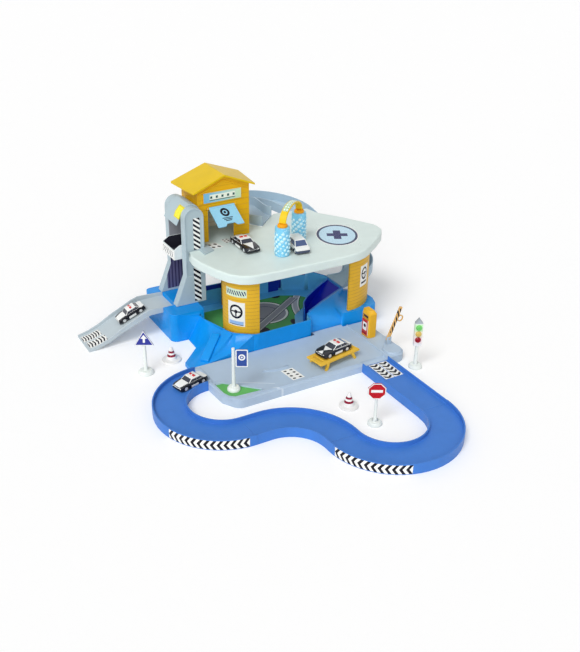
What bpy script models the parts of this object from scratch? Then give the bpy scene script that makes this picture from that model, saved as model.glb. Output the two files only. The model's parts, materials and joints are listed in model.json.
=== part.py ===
"""Toy garage with a lift tower, an upper deck, ramps, a track loop, road signs and five cars.

X runs along the front edge of the platform, +Y goes to the back, +Z is up.
The origin lies on the table under the middle of the garage floor.
"""

import math

import bmesh
import bpy
from mathutils import Matrix, Vector

CM = 0.01
FIT = 0.03 * CM                     # air between two pieces that touch
WALL = 0.3 * CM                     # moulded walls of the big pieces
LAYOUT_SHIFT = Vector((-10.0, -15.0, 0.0)) * CM   # brings the middle of the floor to the origin

# Garage base
FLOOR_T = 0.5 * CM
RIM_Z = 5.7 * CM
BLOCK_Z = 6.8 * CM
LEDGE_Z = 4.8 * CM
BASE_FRONT_Y = 3.1 * CM
BASE_BACK_Y = 31.0 * CM
BASE_LEFT_X = -5.0 * CM
BASE_RIGHT_X = 31.6 * CM
BLOCK_LEFT_X = -11.4 * CM
BLOCK_FRONT_Y = 17.8 * CM
MAT_T = 0.06 * CM
LANE_Z = 5.6 * CM                   # top of the lane's walls
LANE_WALL = 0.45 * CM

# Front platform
PLATFORM_Z = 1.8 * CM
PLATFORM_LEFT_X = -13.0 * CM
PLATFORM_FRONT_Y = -13.1 * CM
PLATFORM_BACK_Y = 3.05 * CM
CURB_W = 0.4 * CM
CURB_H = 0.35 * CM

# Track
TRACK_W = 6.8 * CM
TRACK_H = 2.2 * CM
TRACK_ROAD_Z = 1.35 * CM
TRACK_WALL = 0.28 * CM
TRACK_R = 10.6 * CM
TRACK_JOINT_Y = -0.6 * CM
TRACK_LEAD = 3.2 * CM               # straight bit between the left curve and the bend
TRACK_EXIT_X = PLATFORM_LEFT_X + TRACK_LEAD + 3.0 * TRACK_R
MOUTH_L = 1.3 * CM                  # how far the road is let into the platform
PLATFORM_RIGHT_X = TRACK_EXIT_X + 8.3 * CM

# Upper deck
DECK_Z = 19.6 * CM
SKIRT_H = 2.0 * CM
DECK_T = 0.3 * CM

# Lift tower
TOWER_LEFT_X = -5.9 * CM
TOWER_RIGHT_X = -1.2 * CM
TOWER_FRONT_Y = 21.4 * CM
TOWER_TOP_Z = 29.5 * CM
COLUMN_T = 2.0 * CM
SHAFT_W = 6.8 * CM
SHAFT_TOP_Z = 28.0 * CM
FOOT_FLARE = 2.7 * CM
FOOT_H = 6.8 * CM
FACE_RIM = 0.35 * CM
FACE_SINK = 0.15 * CM
PANEL_T = 0.3 * CM
WINDOW_EDGE = 0.9 * CM
WINDOW_H = 4.6 * CM
TRAY_L = 6.2 * CM
TRAY_Z = 17.3 * CM
TRAY_H = 3.3 * CM
TRAY_PLAY = 0.1 * CM

# Left ramp
RAMP_W = 8.0 * CM
RAMP_NEAR_Y = 22.8 * CM
RAMP_END_X = -8.3 * CM
RAMP_UNDER_Z = 5.5 * CM
RAMP_ROAD = [(-8.3, 5.8), (-14.6, 5.75), (-21.4, 3.05), (-24.4, 1.5), (-27.0, 0.65), (-29.4, 0.3)]
RAMP_RIM = [(-8.3, 6.7), (-14.6, 6.95), (-16.4, 6.35), (-21.4, 3.95), (-24.4, 2.25), (-27.0, 1.2),
            (-29.4, 0.6)]
RAMP_UNDER = [(-29.4, 0.0), (-28.0, 0.0), (-24.4, 1.15), (-21.4, 2.7), (-14.6, 5.42), (-14.0, 5.5),
              (-8.3, 5.5)]

# House
HOUSE_LEFT_X = -1.1 * CM
HOUSE_W = 12.9 * CM
HOUSE_FRONT_Y = 24.7 * CM
HOUSE_DEPTH = 8.6 * CM
ROOF_EAVES_Z = 31.8 * CM
ROOF_RISE = 3.1 * CM
ROOF_T = 0.45 * CM
ROOF_FRONT_Y = 24.0 * CM
ROOF_FRONT_W = 15.2 * CM
ROOF_BACK_W = 17.2 * CM
DOOR_LEFT_X = 1.4 * CM
DOOR_W = 6.4 * CM
DOOR_H = 7.7 * CM
FLAP_L = 5.7 * CM
FLAP_T = 0.22 * CM
FLAP_ANGLE = math.radians(60.0)     # how far the flap stands out from the wall
HINGE_R = 0.28 * CM
HINGE_Y = 24.3 * CM
HINGE_Z = 27.6 * CM

# Spiral ramp
SPIRAL_W = 7.2 * CM
SPIRAL_RIM = 2.2 * CM
SPIRAL_R = 8.95 * CM
SPIRAL_WALL = 0.28 * CM
SPIRAL_FOOT_Z = 6.1 * CM
SPIRAL_CENTRE = Vector((27.15, 41.75, 0.0)) * CM
SPIRAL_MOUTH = Vector((19.55, 30.15, 0.0)) * CM
SPIRAL_FOOT = Vector((31.1, 17.0, 0.0)) * CM
SPIRAL_LEVEL = 0.15                 # share of the run that stays level with the deck
SPIRAL_TURN_R = 4.8 * CM            # last turn, into the garage
SPIRAL_TURN = (18.0, -110.0)        # where that turn starts and ends, in degrees
SPIRAL_AWAY = Vector((-0.685, 0.729, 0.0))   # the way it leaves the deck
SPIRAL_LEAD = 0.8 * CM              # straight bit at the mouth
SPIRAL_MOUTH_ARM = 4.0 * CM         # how softly it bends away from the deck
SPIRAL_SIDE_ARM = 4.0 * CM          # how softly it bends into the loop
SPIRAL_DOWN_ARM = 10.0 * CM         # how softly it leaves the loop
SPIRAL_TURN_ARM = 8.0 * CM          # how softly it bends into its last turn
SPIRAL_LAST_L = 1.84 * CM           # straight bit at the foot
RIM_TAPER = 3.0 * CM
INNER_RIM_END = 4.0 * CM            # the inner rim stops this far before the foot

# Pillars
PILLAR_T = 0.6 * CM
PILLAR_R = 5.9 * CM
PILLAR_STEPS = 10
PILLAR_FRONT_CENTRE = Vector((3.8, 10.1, 0.0)) * CM
PILLAR_FRONT_SPAN = (168.0, 266.0)
PILLAR_RIGHT_CENTRE = Vector((27.0, 13.6, 0.0)) * CM
PILLAR_RIGHT_R = 9.2 * CM
PILLAR_RIGHT_SPAN = (-93.0, -38.0)
PILLAR_REAR_CENTRE = Vector((9.0, 23.7, 0.0)) * CM
PILLAR_REAR_SPAN = (62.0, 118.0)

# Car wash
ROLLER_R = 1.8 * CM
ROLLER_H = 5.8 * CM
CAP_R = 1.15 * CM
CAP_H = 1.4 * CM
AXLE_PIN_R = 0.35 * CM
WASH_FRONT = Vector((12.3, 10.3, 0.0)) * CM
WASH_REAR = Vector((20.0, 16.2, 0.0)) * CM
ARCH_RISE = 3.0 * CM
ARCH_T = 0.4 * CM
ARCH_W = 1.6 * CM

# Platform fittings
STAND_Z = 3.6 * CM
STAND_T = 0.4 * CM
STAND_L = 11.0 * CM
STAND_W = 4.6 * CM
STAND_CENTRE = Vector((14.4, -8.3, 0.0)) * CM
STAND_TURN = math.radians(10.0)
PUMP_H = 6.6 * CM
PUMP_X = (PLATFORM_RIGHT_X - 4.0 * CM, PLATFORM_RIGHT_X - 1.8 * CM)
PUMP_Y = (-4.3 * CM, -1.3 * CM)
ARM_X = PLATFORM_RIGHT_X - 1.3 * CM
ARM_Y = -7.9 * CM
ARM_L = 7.7 * CM
ARM_W = 0.85 * CM
ARM_T = 0.35 * CM
ARM_PIVOT_Z = 3.0 * CM
ARM_LEAN = math.radians(21.9)       # past upright, away from the lane
RING_R = 0.8 * CM
PIN_R = 0.16 * CM
LUG_T = 0.3 * CM

# Free-standing pieces
TRIANGLE_SIGN = Vector((-21.6, 8.7, 0.0)) * CM
PANEL_SIGN = Vector((-9.6, -8.7, 0.0)) * CM
OCTAGON_SIGN = Vector((TRACK_EXIT_X / CM - 12.1, -30.1, 0.0)) * CM
TRAFFIC_LIGHT = Vector((TRACK_EXIT_X / CM + 7.9, -16.7, 0.0)) * CM
CONE_LEFT = Vector((-14.7, 11.1, 0.0)) * CM
CONE_FRONT = Vector((TRACK_EXIT_X / CM - 13.1, -22.6, 0.0)) * CM
SIGN_TURN = math.radians(-29.0)     # the signs face the same way
SIGN_T = 0.28 * CM
LAMP_HEIGHTS = (1.5 * CM, 2.9 * CM, 4.35 * CM)
LAMP_R = 0.5 * CM

# Cars
WHEEL_R = 0.55 * CM
WHEEL_W = 0.5 * CM
CAR_AXLE_R = 0.12 * CM
WHEEL_PLAY = 0.05 * CM

ROUND = 20                          # sides of the larger round pieces

DECK_OUTLINE = [Vector(point) * CM for point in (
    (-5.15, 21.35), (-5.4, 19.6), (-5.6, 18.3), (-5.3, 15.1), (-4.7, 12.6), (-4.0, 10.1), (-2.7, 6.9),
    (-1.0, 4.8), (0.7, 3.8), (2.5, 3.3), (7.6, 3.05), (12.5, 2.95), (17.4, 2.85), (23.1, 2.75),
    (25.8, 2.8), (27.9, 3.1), (30.2, 3.9), (32.1, 5.1), (35.8, 7.7), (39.1, 10.4), (40.5, 12.4),
    (40.8, 14.4), (40.6, 15.8), (40.0, 16.9), (36.7, 23.2), (33.0, 28.6), (32.2, 32.5), (22.9, 33.3),
    (16.3, 27.1), (14.3, 30.0), (12.4, 34.0), (-1.17, 34.0), (-1.17, 21.35))]


def clear_scene():
    for item in list(bpy.data.objects):
        bpy.data.objects.remove(item, do_unlink=True)


def plastic(name, colour, roughness=0.35, metallic=0.0):
    material = bpy.data.materials.new(name)
    material.use_nodes = True
    shader = material.node_tree.nodes["Principled BSDF"]
    shader.inputs["Base Color"].default_value = (*colour, 1.0)
    shader.inputs["Roughness"].default_value = roughness
    shader.inputs["Metallic"].default_value = metallic
    return material


def layout_empty():
    empty = bpy.data.objects.new("garage_layout", None)
    empty.location = LAYOUT_SHIFT
    bpy.context.collection.objects.link(empty)
    return empty


def add_object(name, shape, material, parent, location=(0, 0, 0), rotation=(0, 0, 0), smooth=35.0):
    """Turn a bmesh into a named object under its parent."""
    bmesh.ops.recalc_face_normals(shape, faces=shape.faces)
    mesh = bpy.data.meshes.new(name)
    shape.to_mesh(mesh)
    shape.free()
    item = bpy.data.objects.new(name, mesh)
    mesh.materials.append(material)
    item.parent = parent
    item.location = location
    item.rotation_euler = rotation
    bpy.context.collection.objects.link(item)
    mesh.shade_smooth()
    mesh.set_sharp_from_angle(angle=math.radians(smooth))
    return item


def combined(first, second, operation):
    """Join or cut two closed shapes, and give back one closed shape."""
    holders = []
    for shape in (first, second):
        bmesh.ops.recalc_face_normals(shape, faces=shape.faces)
        mesh = bpy.data.meshes.new("shape")
        shape.to_mesh(mesh)
        shape.free()
        holder = bpy.data.objects.new("shape", mesh)
        bpy.context.collection.objects.link(holder)
        holders.append(holder)
    cutter = holders[0].modifiers.new("boolean", "BOOLEAN")
    cutter.operation = operation
    cutter.object = holders[1]
    bpy.context.view_layer.update()
    graph = bpy.context.evaluated_depsgraph_get()
    result = bmesh.new()
    result.from_mesh(holders[0].evaluated_get(graph).to_mesh())
    for holder in holders:
        bpy.data.objects.remove(holder, do_unlink=True)
    bmesh.ops.remove_doubles(result, verts=result.verts, dist=0.00001)
    return result


def union(first, *others):
    for other in others:
        first = combined(first, other, "UNION")
    return first


def cut(first, *others):
    for other in others:
        first = combined(first, other, "DIFFERENCE")
    return first


def rounded(corners, steps=5):
    """An outline from (x, y, radius) corners in cm, each rounded by an arc."""
    points = []
    count = len(corners)
    for index, (x, y, radius) in enumerate(corners):
        here = Vector((x, y)) * CM
        if radius == 0:
            points.append(here)
            continue
        before = Vector(corners[index - 1][:2]) * CM
        after = Vector(corners[(index + 1) % count][:2]) * CM
        arm_in = (before - here).normalized()
        arm_out = (after - here).normalized()
        half = arm_in.angle(arm_out) / 2.0
        reach = radius * CM / math.tan(half)
        bisector = (arm_in + arm_out).normalized()
        centre = here + bisector * (radius * CM / math.sin(half))
        start = here + arm_in * reach - centre
        end = here + arm_out * reach - centre
        for step in range(steps + 1):
            spoke = start.lerp(end, step / steps).normalized() * radius * CM
            points.append(centre + spoke)
    return points


def inset(outline, distance):
    """The outline moved inwards by a distance; the outline runs anticlockwise."""
    moved = []
    count = len(outline)
    for index, here in enumerate(outline):
        before = (here - outline[index - 1]).normalized()
        after = (outline[(index + 1) % count] - here).normalized()
        normal_in = Vector((-before.y, before.x))
        normal_out = Vector((-after.y, after.x))
        mitre = (normal_in + normal_out).normalized()
        moved.append(here + mitre * (distance / max(mitre.dot(normal_in), 0.3)))
    return moved


def prism(outline, low, high):
    """An upright solid over an outline of (x, y) points."""
    shape = bmesh.new()
    bottom = [shape.verts.new((point[0], point[1], low)) for point in outline]
    top = [shape.verts.new((point[0], point[1], high)) for point in outline]
    close_rings(shape, [bottom, top])
    return shape


def side_prism(outline, near, far):
    """A solid from an (x, z) outline, carried from y = near to y = far."""
    shape = bmesh.new()
    front = [shape.verts.new((x, near, z)) for x, z in outline]
    back = [shape.verts.new((x, far, z)) for x, z in outline]
    close_rings(shape, [front, back])
    return shape


def close_rings(shape, rings):
    """Skin rings of points into one closed body with flat ends."""
    for first, second in zip(rings, rings[1:]):
        for index in range(len(first)):
            following = (index + 1) % len(first)
            shape.faces.new((first[index], first[following], second[following], second[index]))
    shape.faces.new(list(reversed(rings[0])))
    shape.faces.new(rings[-1])


def box(low, high):
    """A block between two corners."""
    outline = [(low[0], low[1]), (high[0], low[1]), (high[0], high[1]), (low[0], high[1])]
    return prism(outline, low[2], high[2])


def hull(points):
    """The tight solid round a handful of points."""
    shape = bmesh.new()
    for point in points:
        shape.verts.new(point)
    result = bmesh.ops.convex_hull(shape, input=shape.verts)
    loose = [item for item in result["geom_interior"] if isinstance(item, bmesh.types.BMVert)]
    bmesh.ops.delete(shape, geom=loose, context="VERTS")
    return shape


def turned(profile, sides=ROUND):
    """A solid turned round Z from (radius, height) points, listed from the bottom up."""
    shape = bmesh.new()
    rings = []
    for radius, height in profile:
        ring = []
        for index in range(sides):
            angle = 2.0 * math.pi * index / sides
            ring.append(shape.verts.new((radius * math.cos(angle), radius * math.sin(angle), height)))
        rings.append(ring)
    close_rings(shape, rings)
    return shape


def moved(shape, offset):
    bmesh.ops.translate(shape, verts=shape.verts, vec=offset)
    return shape


def spun(shape, angle, axis):
    bmesh.ops.rotate(shape, verts=shape.verts, cent=(0, 0, 0), matrix=Matrix.Rotation(angle, 3, axis))
    return shape


def sweep(path, sections, end=None):
    """Carry an upright section of (sideways, up) points along a path, one section per point.

    The last ring is square to the path, or to the heading "end".
    """
    shape = bmesh.new()
    rings = []
    last = len(path) - 1
    for index, (place, section) in enumerate(zip(path, sections)):
        ahead = (path[min(index + 1, last)] - path[min(index, last - 1)]).to_2d().normalized()
        behind = (path[max(index, 1)] - path[max(index - 1, 0)]).to_2d().normalized()
        heading = (ahead + behind).normalized()
        if end and index == last:
            heading = end
        side = Vector((heading.y, -heading.x, 0.0)) / heading.dot(ahead)
        rings.append([shape.verts.new(place + side * across + Vector((0, 0, up)))
                      for across, up in section])
    close_rings(shape, rings)
    return shape


def arc(centre, radius, start, end, steps):
    """Points on a level arc; angles in degrees."""
    points = []
    for step in range(steps + 1):
        angle = math.radians(start + (end - start) * step / steps)
        points.append(Vector((centre[0] + radius * math.cos(angle),
                              centre[1] + radius * math.sin(angle), 0.0)))
    return points


def bezier(start, start_arm, end_arm, end, steps):
    points = []
    for step in range(steps + 1):
        t = step / steps
        points.append(start * (1 - t) ** 3 + start_arm * 3 * t * (1 - t) ** 2
                      + end_arm * 3 * t * t * (1 - t) + end * t ** 3)
    return points


def trough_section(width, left_rim, right_rim, wall):
    """A channel: rims above the road, a thin floor below it; the road is at height 0."""
    half = width / 2.0
    inner = half - wall
    return [(-half, -wall), (half, -wall), (half, right_rim), (inner, right_rim),
            (inner, 0.0), (-inner, 0.0), (-inner, left_rim), (-half, left_rim)]


def track_section():
    """A channel that stands on its side walls, hollow under the road."""
    half = TRACK_W / 2.0
    inner = half - TRACK_WALL
    under = TRACK_ROAD_Z - TRACK_WALL
    return [(-half, 0.0), (-inner, 0.0), (-inner, under), (inner, under), (inner, 0.0), (half, 0.0),
            (half, TRACK_H), (inner, TRACK_H), (inner, TRACK_ROAD_Z), (-inner, TRACK_ROAD_Z),
            (-inner, TRACK_H), (-half, TRACK_H)]


def base_outline():
    """The rim of the garage basin, anticlockwise from its back left corner."""
    left = BASE_LEFT_X / CM
    right = BASE_RIGHT_X / CM
    front = BASE_FRONT_Y / CM
    back = BASE_BACK_Y / CM
    return rounded([
        (left, back, 1.0), (left, 15.2, 5.0), (-2.4, 6.2, 4.0), (1.8, front, 3.0),
        (16.2, front + 0.2, 0.6), (16.9, 6.2, 0.5), (23.5, 9.9, 4.0), (right, 13.9, 0.8),
        (right, 21.5, 3.0), (29.0, 26.5, 2.0), (23.0, back - 1.4, 3.0)])


def ledge_outline():
    return rounded([
        (24.9, 4.1, 0.5), (30.0, 3.6, 1.5), (34.4, 4.5, 1.2), (35.5, 7.5, 1.0), (35.5, 11.8, 1.0),
        (31.45, 15.6, 0.0), (31.45, 13.95, 0.0), (24.8, 10.67, 0.0)])


def block_outline():
    left = BLOCK_LEFT_X / CM
    front = BLOCK_FRONT_Y / CM
    back = (TOWER_FRONT_Y + 2 * COLUMN_T + SHAFT_W) / CM + 1.6
    return rounded([(left, back, 1.2), (left, front, 1.6), (-3.4, front - 0.4, 0.8), (-3.4, back, 0.8)])


def ramp_notch():
    """Where the left ramp's upper end is let into the block."""
    near = RAMP_NEAR_Y - FIT
    far = RAMP_NEAR_Y + RAMP_W + FIT
    return near, far, RAMP_END_X + FIT


def front_apron():
    """The wall of the basin spreads out to the left in a hollow curve, down to the platform's corner."""
    edge = (BASE_FRONT_Y + 0.3 * CM) / CM
    left = (PLATFORM_LEFT_X - 0.2 * CM) / CM
    block = BLOCK_FRONT_Y / CM
    top = RIM_Z / CM - 0.15
    lip = 0.9
    middle = [(-5.7, 10.8, 2.9), (-4.7, 6.4, 2.7), (-3.0, edge, 2.8)]
    rim = [(-4.4, 13.8, top), (-2.9, 9.0, top), (-1.5, 6.4, top), (1.4, edge, top)]
    root = [(-4.4, 13.8, 0.0), (-2.9, 9.0, 0.0), (1.4, edge, 0.0)]
    fold = (-7.85, 13.4, 0.0)
    beside_block = [(-7.7, block, 0.0), fold, (-4.7, block, 0.0), (-4.7, block, top), rim[0], root[0]]
    upper = middle + rim + root + [(-5.7, 10.8, 0.0), (-3.0, edge, 0.0)]
    lower = [fold, (left, 7.2, 0.0), (left, edge, 0.0), (left, 7.2, lip), (left, edge, lip)]
    lower += middle + root
    flank = [fold, rim[0], middle[0], root[0], (-5.7, 10.8, 0.0)]
    parts = [hull([Vector(point) * CM for point in points])
             for points in (beside_block, upper, lower, flank)]
    return union(*parts)


def apron_rib():
    """A raised buttress that runs down the apron."""
    top = RIM_Z + 0.25 * CM
    foot = 1.3 * CM
    return hull([Vector((-2.6 * CM, 9.0 * CM, top)), Vector((-1.0 * CM, 6.9 * CM, top)),
                 Vector((-10.8 * CM, 6.2 * CM, foot)), Vector((-9.3 * CM, 4.2 * CM, foot)),
                 Vector((-2.2 * CM, 9.4 * CM, FLOOR_T)), Vector((-0.6 * CM, 7.3 * CM, FLOOR_T)),
                 Vector((-10.4 * CM, 6.6 * CM, 0.0)), Vector((-8.9 * CM, 4.6 * CM, 0.0))])


def recess_bank():
    """The sloping face behind the car stand, up to the lane's wall."""
    front = 4.4 * CM
    low = [(16.4 * CM, front), (24.9 * CM, front)]
    points = [Vector((x, y, 0.0)) for x, y in low]
    points += [Vector((x, y + 0.3 * CM, LEDGE_Z - 1.4 * CM)) for x, y in low]
    back = [(17.0, 6.5), (23.6, 10.2), (29.6, 13.2), (27.0, 11.0)]
    points += [Vector((x * CM, y * CM, 0.0)) for x, y in back]
    points += [Vector((x * CM, y * CM, RIM_Z - 0.1 * CM)) for x, y in back]
    return hull(points)


def make_base(parent, azure):
    rim = base_outline()
    ledge = ledge_outline()
    block = block_outline()
    shape = prism(rim, 0.0, RIM_Z)
    shape = union(shape, front_apron(), recess_bank(), prism(ledge, 0.0, LEDGE_Z), apron_rib())
    shape = cut(shape, prism(inset(rim, WALL), FLOOR_T, RIM_Z + CM))
    shape = union(shape, prism(block, 0.0, BLOCK_Z))
    shape = cut(shape, prism(inset(block, WALL), -CM, BLOCK_Z - WALL))
    near, far, end = ramp_notch()
    left = BLOCK_LEFT_X
    seat = RAMP_UNDER_Z - FIT
    shape = union(shape, box((left + 0.1 * CM, near - WALL, seat - WALL), (end + WALL, far + WALL, BLOCK_Z)))
    shape = cut(shape, box((left - CM, near, seat), (end, far, BLOCK_Z + CM)))
    shape = cut(shape, prism(inset(ledge, WALL), -CM, LEDGE_Z - WALL))
    return add_object("base_shell", shape, azure, parent)


def make_floor_mat(parent, printed):
    """The printed card on the floor, with a gap round the front pillar."""
    room = rounded([(-3.1, 27.2, 1.0), (-3.1, 15.6, 4.0), (-0.8, 7.6, 3.0), (2.6, 4.6, 2.0),
                    (14.6, 4.7, 1.0), (15.2, 8.6, 1.0), (19.0, 15.6, 2.0), (27.2, 20.8, 1.0),
                    (25.2, 24.2, 2.0), (21.0, 26.4, 2.0)])
    shape = prism(room, FLOOR_T + FIT, FLOOR_T + FIT + MAT_T)
    span = (PILLAR_FRONT_SPAN[0] - 2.0, PILLAR_FRONT_SPAN[1] + 2.0)
    keep_out = arc(PILLAR_FRONT_CENTRE, PILLAR_R + 3.0 * FIT, *span, PILLAR_STEPS)
    keep_out += list(reversed(arc(PILLAR_FRONT_CENTRE, PILLAR_R - PILLAR_T - 3.0 * FIT,
                                  *span, PILLAR_STEPS)))
    shape = cut(shape, prism(keep_out, 0.0, CM))
    return add_object("floor_mat", shape, printed, parent)


def make_lane(parent, navy):
    """The channel inside the garage: from the spiral's foot it narrows and drops to the floor."""
    stations = [((31.1, 20.4), (31.1, 14.1), 5.45), ((27.8, 18.6), (27.6, 12.35), 4.4),
                ((24.9, 16.7), (23.8, 10.5), 3.3), ((21.6, 14.5), (20.9, 8.9), 2.3),
                ((19.2, 12.2), (19.2, 7.95), 1.6), ((17.4, 9.0), (17.95, 7.22), 1.0)]
    low = FLOOR_T + FIT
    shape = bmesh.new()
    rings = []
    for left, right, road in stations:
        outer_left = Vector(left) * CM
        outer_right = Vector(right) * CM
        inward = (outer_right - outer_left).normalized() * LANE_WALL
        ring = []
        for plan, height in ((outer_left, low), (outer_right, low), (outer_right, LANE_Z),
                             (outer_right - inward, LANE_Z), (outer_right - inward, road * CM),
                             (outer_left + inward, road * CM), (outer_left + inward, LANE_Z),
                             (outer_left, LANE_Z)):
            ring.append(shape.verts.new((plan.x, plan.y, height)))
        rings.append(ring)
    close_rings(shape, rings)
    return add_object("garage_lane", shape, navy, parent)


def pillar(name, centre, radius, span, low, material, parent):
    """A curved slab that carries the deck."""
    outline = arc(centre, radius, *span, PILLAR_STEPS)
    outline += list(reversed(arc(centre, radius - PILLAR_T, *span, PILLAR_STEPS)))
    high = DECK_Z - DECK_T - FIT
    return add_object(name, prism([point.to_2d() for point in outline], low + FIT, high),
                      material, parent)


def make_deck(parent, pale):
    shape = prism(DECK_OUTLINE, DECK_Z - SKIRT_H, DECK_Z)
    shape = cut(shape, prism(inset(DECK_OUTLINE, WALL), DECK_Z - 2.0 * SKIRT_H, DECK_Z - DECK_T))
    for centre in (WASH_FRONT, WASH_REAR):
        hole = turned([(AXLE_PIN_R + FIT, DECK_Z - SKIRT_H), (AXLE_PIN_R + FIT, DECK_Z + CM)])
        shape = cut(shape, moved(hole, centre))
    return add_object("upper_deck", shape, pale, parent)


def column_outline():
    """Side view of a tower column: round top, upright right edge, foot spread to the left."""
    low = BLOCK_Z + FIT
    radius = (TOWER_RIGHT_X - TOWER_LEFT_X) / 2.0
    middle = TOWER_LEFT_X + radius
    shoulder = TOWER_TOP_Z - radius
    points = [(TOWER_LEFT_X - FOOT_FLARE, low), (TOWER_RIGHT_X, low)]
    for step in range(13):
        angle = math.pi * step / 12
        points.append((middle + radius * math.cos(angle), shoulder + radius * math.sin(angle)))
    points.append((TOWER_LEFT_X, BLOCK_Z + FOOT_H))
    return points


def column_face(depth, near, far):
    """The sunk panel on the outer face of a column, smaller all round by depth."""
    radius = (TOWER_RIGHT_X - TOWER_LEFT_X) / 2.0 - depth
    middle = (TOWER_LEFT_X + TOWER_RIGHT_X) / 2.0
    shoulder = TOWER_TOP_Z - radius - depth
    points = [(middle - radius, BLOCK_Z + FOOT_H), (middle + radius, BLOCK_Z + FOOT_H)]
    for step in range(13):
        angle = math.pi * step / 12
        points.append((middle + radius * math.cos(angle), shoulder + radius * math.sin(angle)))
    return side_prism(points, near, far)


def make_columns(parent, grey):
    back_y = TOWER_FRONT_Y + COLUMN_T + SHAFT_W
    front = side_prism(column_outline(), TOWER_FRONT_Y, TOWER_FRONT_Y + COLUMN_T)
    front = cut(front, column_face(FACE_RIM, TOWER_FRONT_Y - CM, TOWER_FRONT_Y + FACE_SINK))
    flange = prism([Vector(point) * CM for point in ((-2.7, 22.6), (-2.7, 18.1), (0.1, 19.3), (0.1, 23.2),
                                                     (-1.5, 23.2))], DECK_Z + FIT, DECK_Z + PANEL_T)
    front = union(front, flange)
    add_object("tower_front_column", front, grey, parent)
    back = side_prism(column_outline(), back_y, back_y + COLUMN_T)
    back = cut(back, column_face(FACE_RIM, back_y + COLUMN_T - FACE_SINK, back_y + COLUMN_T + CM))
    add_object("tower_back_column", back, grey, parent)


def make_shaft(parent, purple, grey):
    """The wall behind the lift, with a way out to the house, and the hood over the shaft."""
    near = TOWER_FRONT_Y + COLUMN_T + FIT
    far = TOWER_FRONT_Y + COLUMN_T + SHAFT_W - FIT
    left = TOWER_RIGHT_X - PANEL_T - FIT
    wall = box((left, near, BLOCK_Z + FIT), (left + PANEL_T, far, SHAFT_TOP_Z))
    wall = cut(wall, box((left - CM, near + WINDOW_EDGE, DECK_Z),
                         (left + CM, far - WINDOW_EDGE, DECK_Z + WINDOW_H)))
    add_object("tower_back_panel", wall, purple, parent)
    over = [(-1.25, 28.3), (-1.9, 29.2), (-2.8, 29.7), (-3.6, 29.75), (-5.0, 29.1), (-6.0, 27.9),
            (-6.5, 26.6), (-7.0, 25.5)]
    under = [(-6.75, 25.4), (-6.2, 26.5), (-5.75, 27.7), (-4.85, 28.8), (-3.6, 29.4), (-2.9, 29.35),
             (-2.15, 28.95), (-1.55, 28.2)]
    outline = [(x * CM, z * CM) for x, z in over + under]
    add_object("tower_hood", side_prism(outline, near, far), grey, parent)


def make_lift_tray(parent, grey):
    """The lift's car tray; its origin is the middle of its floor."""
    half = SHAFT_W / 2.0 - TRAY_PLAY
    left = -TRAY_L / 2.0
    right = TRAY_L / 2.0
    shape = box((left, -half, 0.0), (right, half, PANEL_T))
    for side in (-1, 1):
        inner = side * (half - PANEL_T)
        outer = side * half
        low_y = min(inner, outer)
        high_y = max(inner, outer)
        outline = [(left, 0.0), (right, 0.0), (right, 1.2 * CM), (right - 1.6 * CM, TRAY_H),
                   (left + 1.6 * CM, TRAY_H), (left, TRAY_H * 0.7)]
        shape = union(shape, side_prism(outline, low_y, high_y))
    shape = union(shape, side_prism([(left, 0.0), (left + PANEL_T, 0.0), (left + PANEL_T, TRAY_H * 0.7),
                                     (left, TRAY_H * 0.7)], -half, half))
    middle_x = TOWER_RIGHT_X - PANEL_T - TRAY_PLAY - TRAY_L / 2.0
    middle_y = TOWER_FRONT_Y + COLUMN_T + SHAFT_W / 2.0
    return add_object("lift_tray", shape, grey, parent, location=(middle_x, middle_y, TRAY_Z))


def make_left_ramp(parent, grey):
    near = RAMP_NEAR_Y
    far = near + RAMP_W
    floor = side_prism([(x * CM, z * CM) for x, z in RAMP_ROAD + RAMP_UNDER], near, far)
    side = [(x * CM, z * CM) for x, z in RAMP_RIM + RAMP_UNDER]
    return add_object("left_ramp", union(floor, side_prism(side, near, near + PANEL_T),
                                         side_prism(side, far - PANEL_T, far)), grey, parent)


def gable(front_left, front_right, back_left, back_right, eaves, ridge, low):
    """A pitched solid over a plan that may widen to the back."""
    points = []
    for (x, y) in (front_left, front_right, back_left, back_right):
        points += [Vector((x, y, low)), Vector((x, y, eaves))]
    points.append(Vector(((front_left[0] + front_right[0]) / 2.0, front_left[1], ridge)))
    points.append(Vector(((back_left[0] + back_right[0]) / 2.0, back_left[1], ridge)))
    return hull(points)


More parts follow.
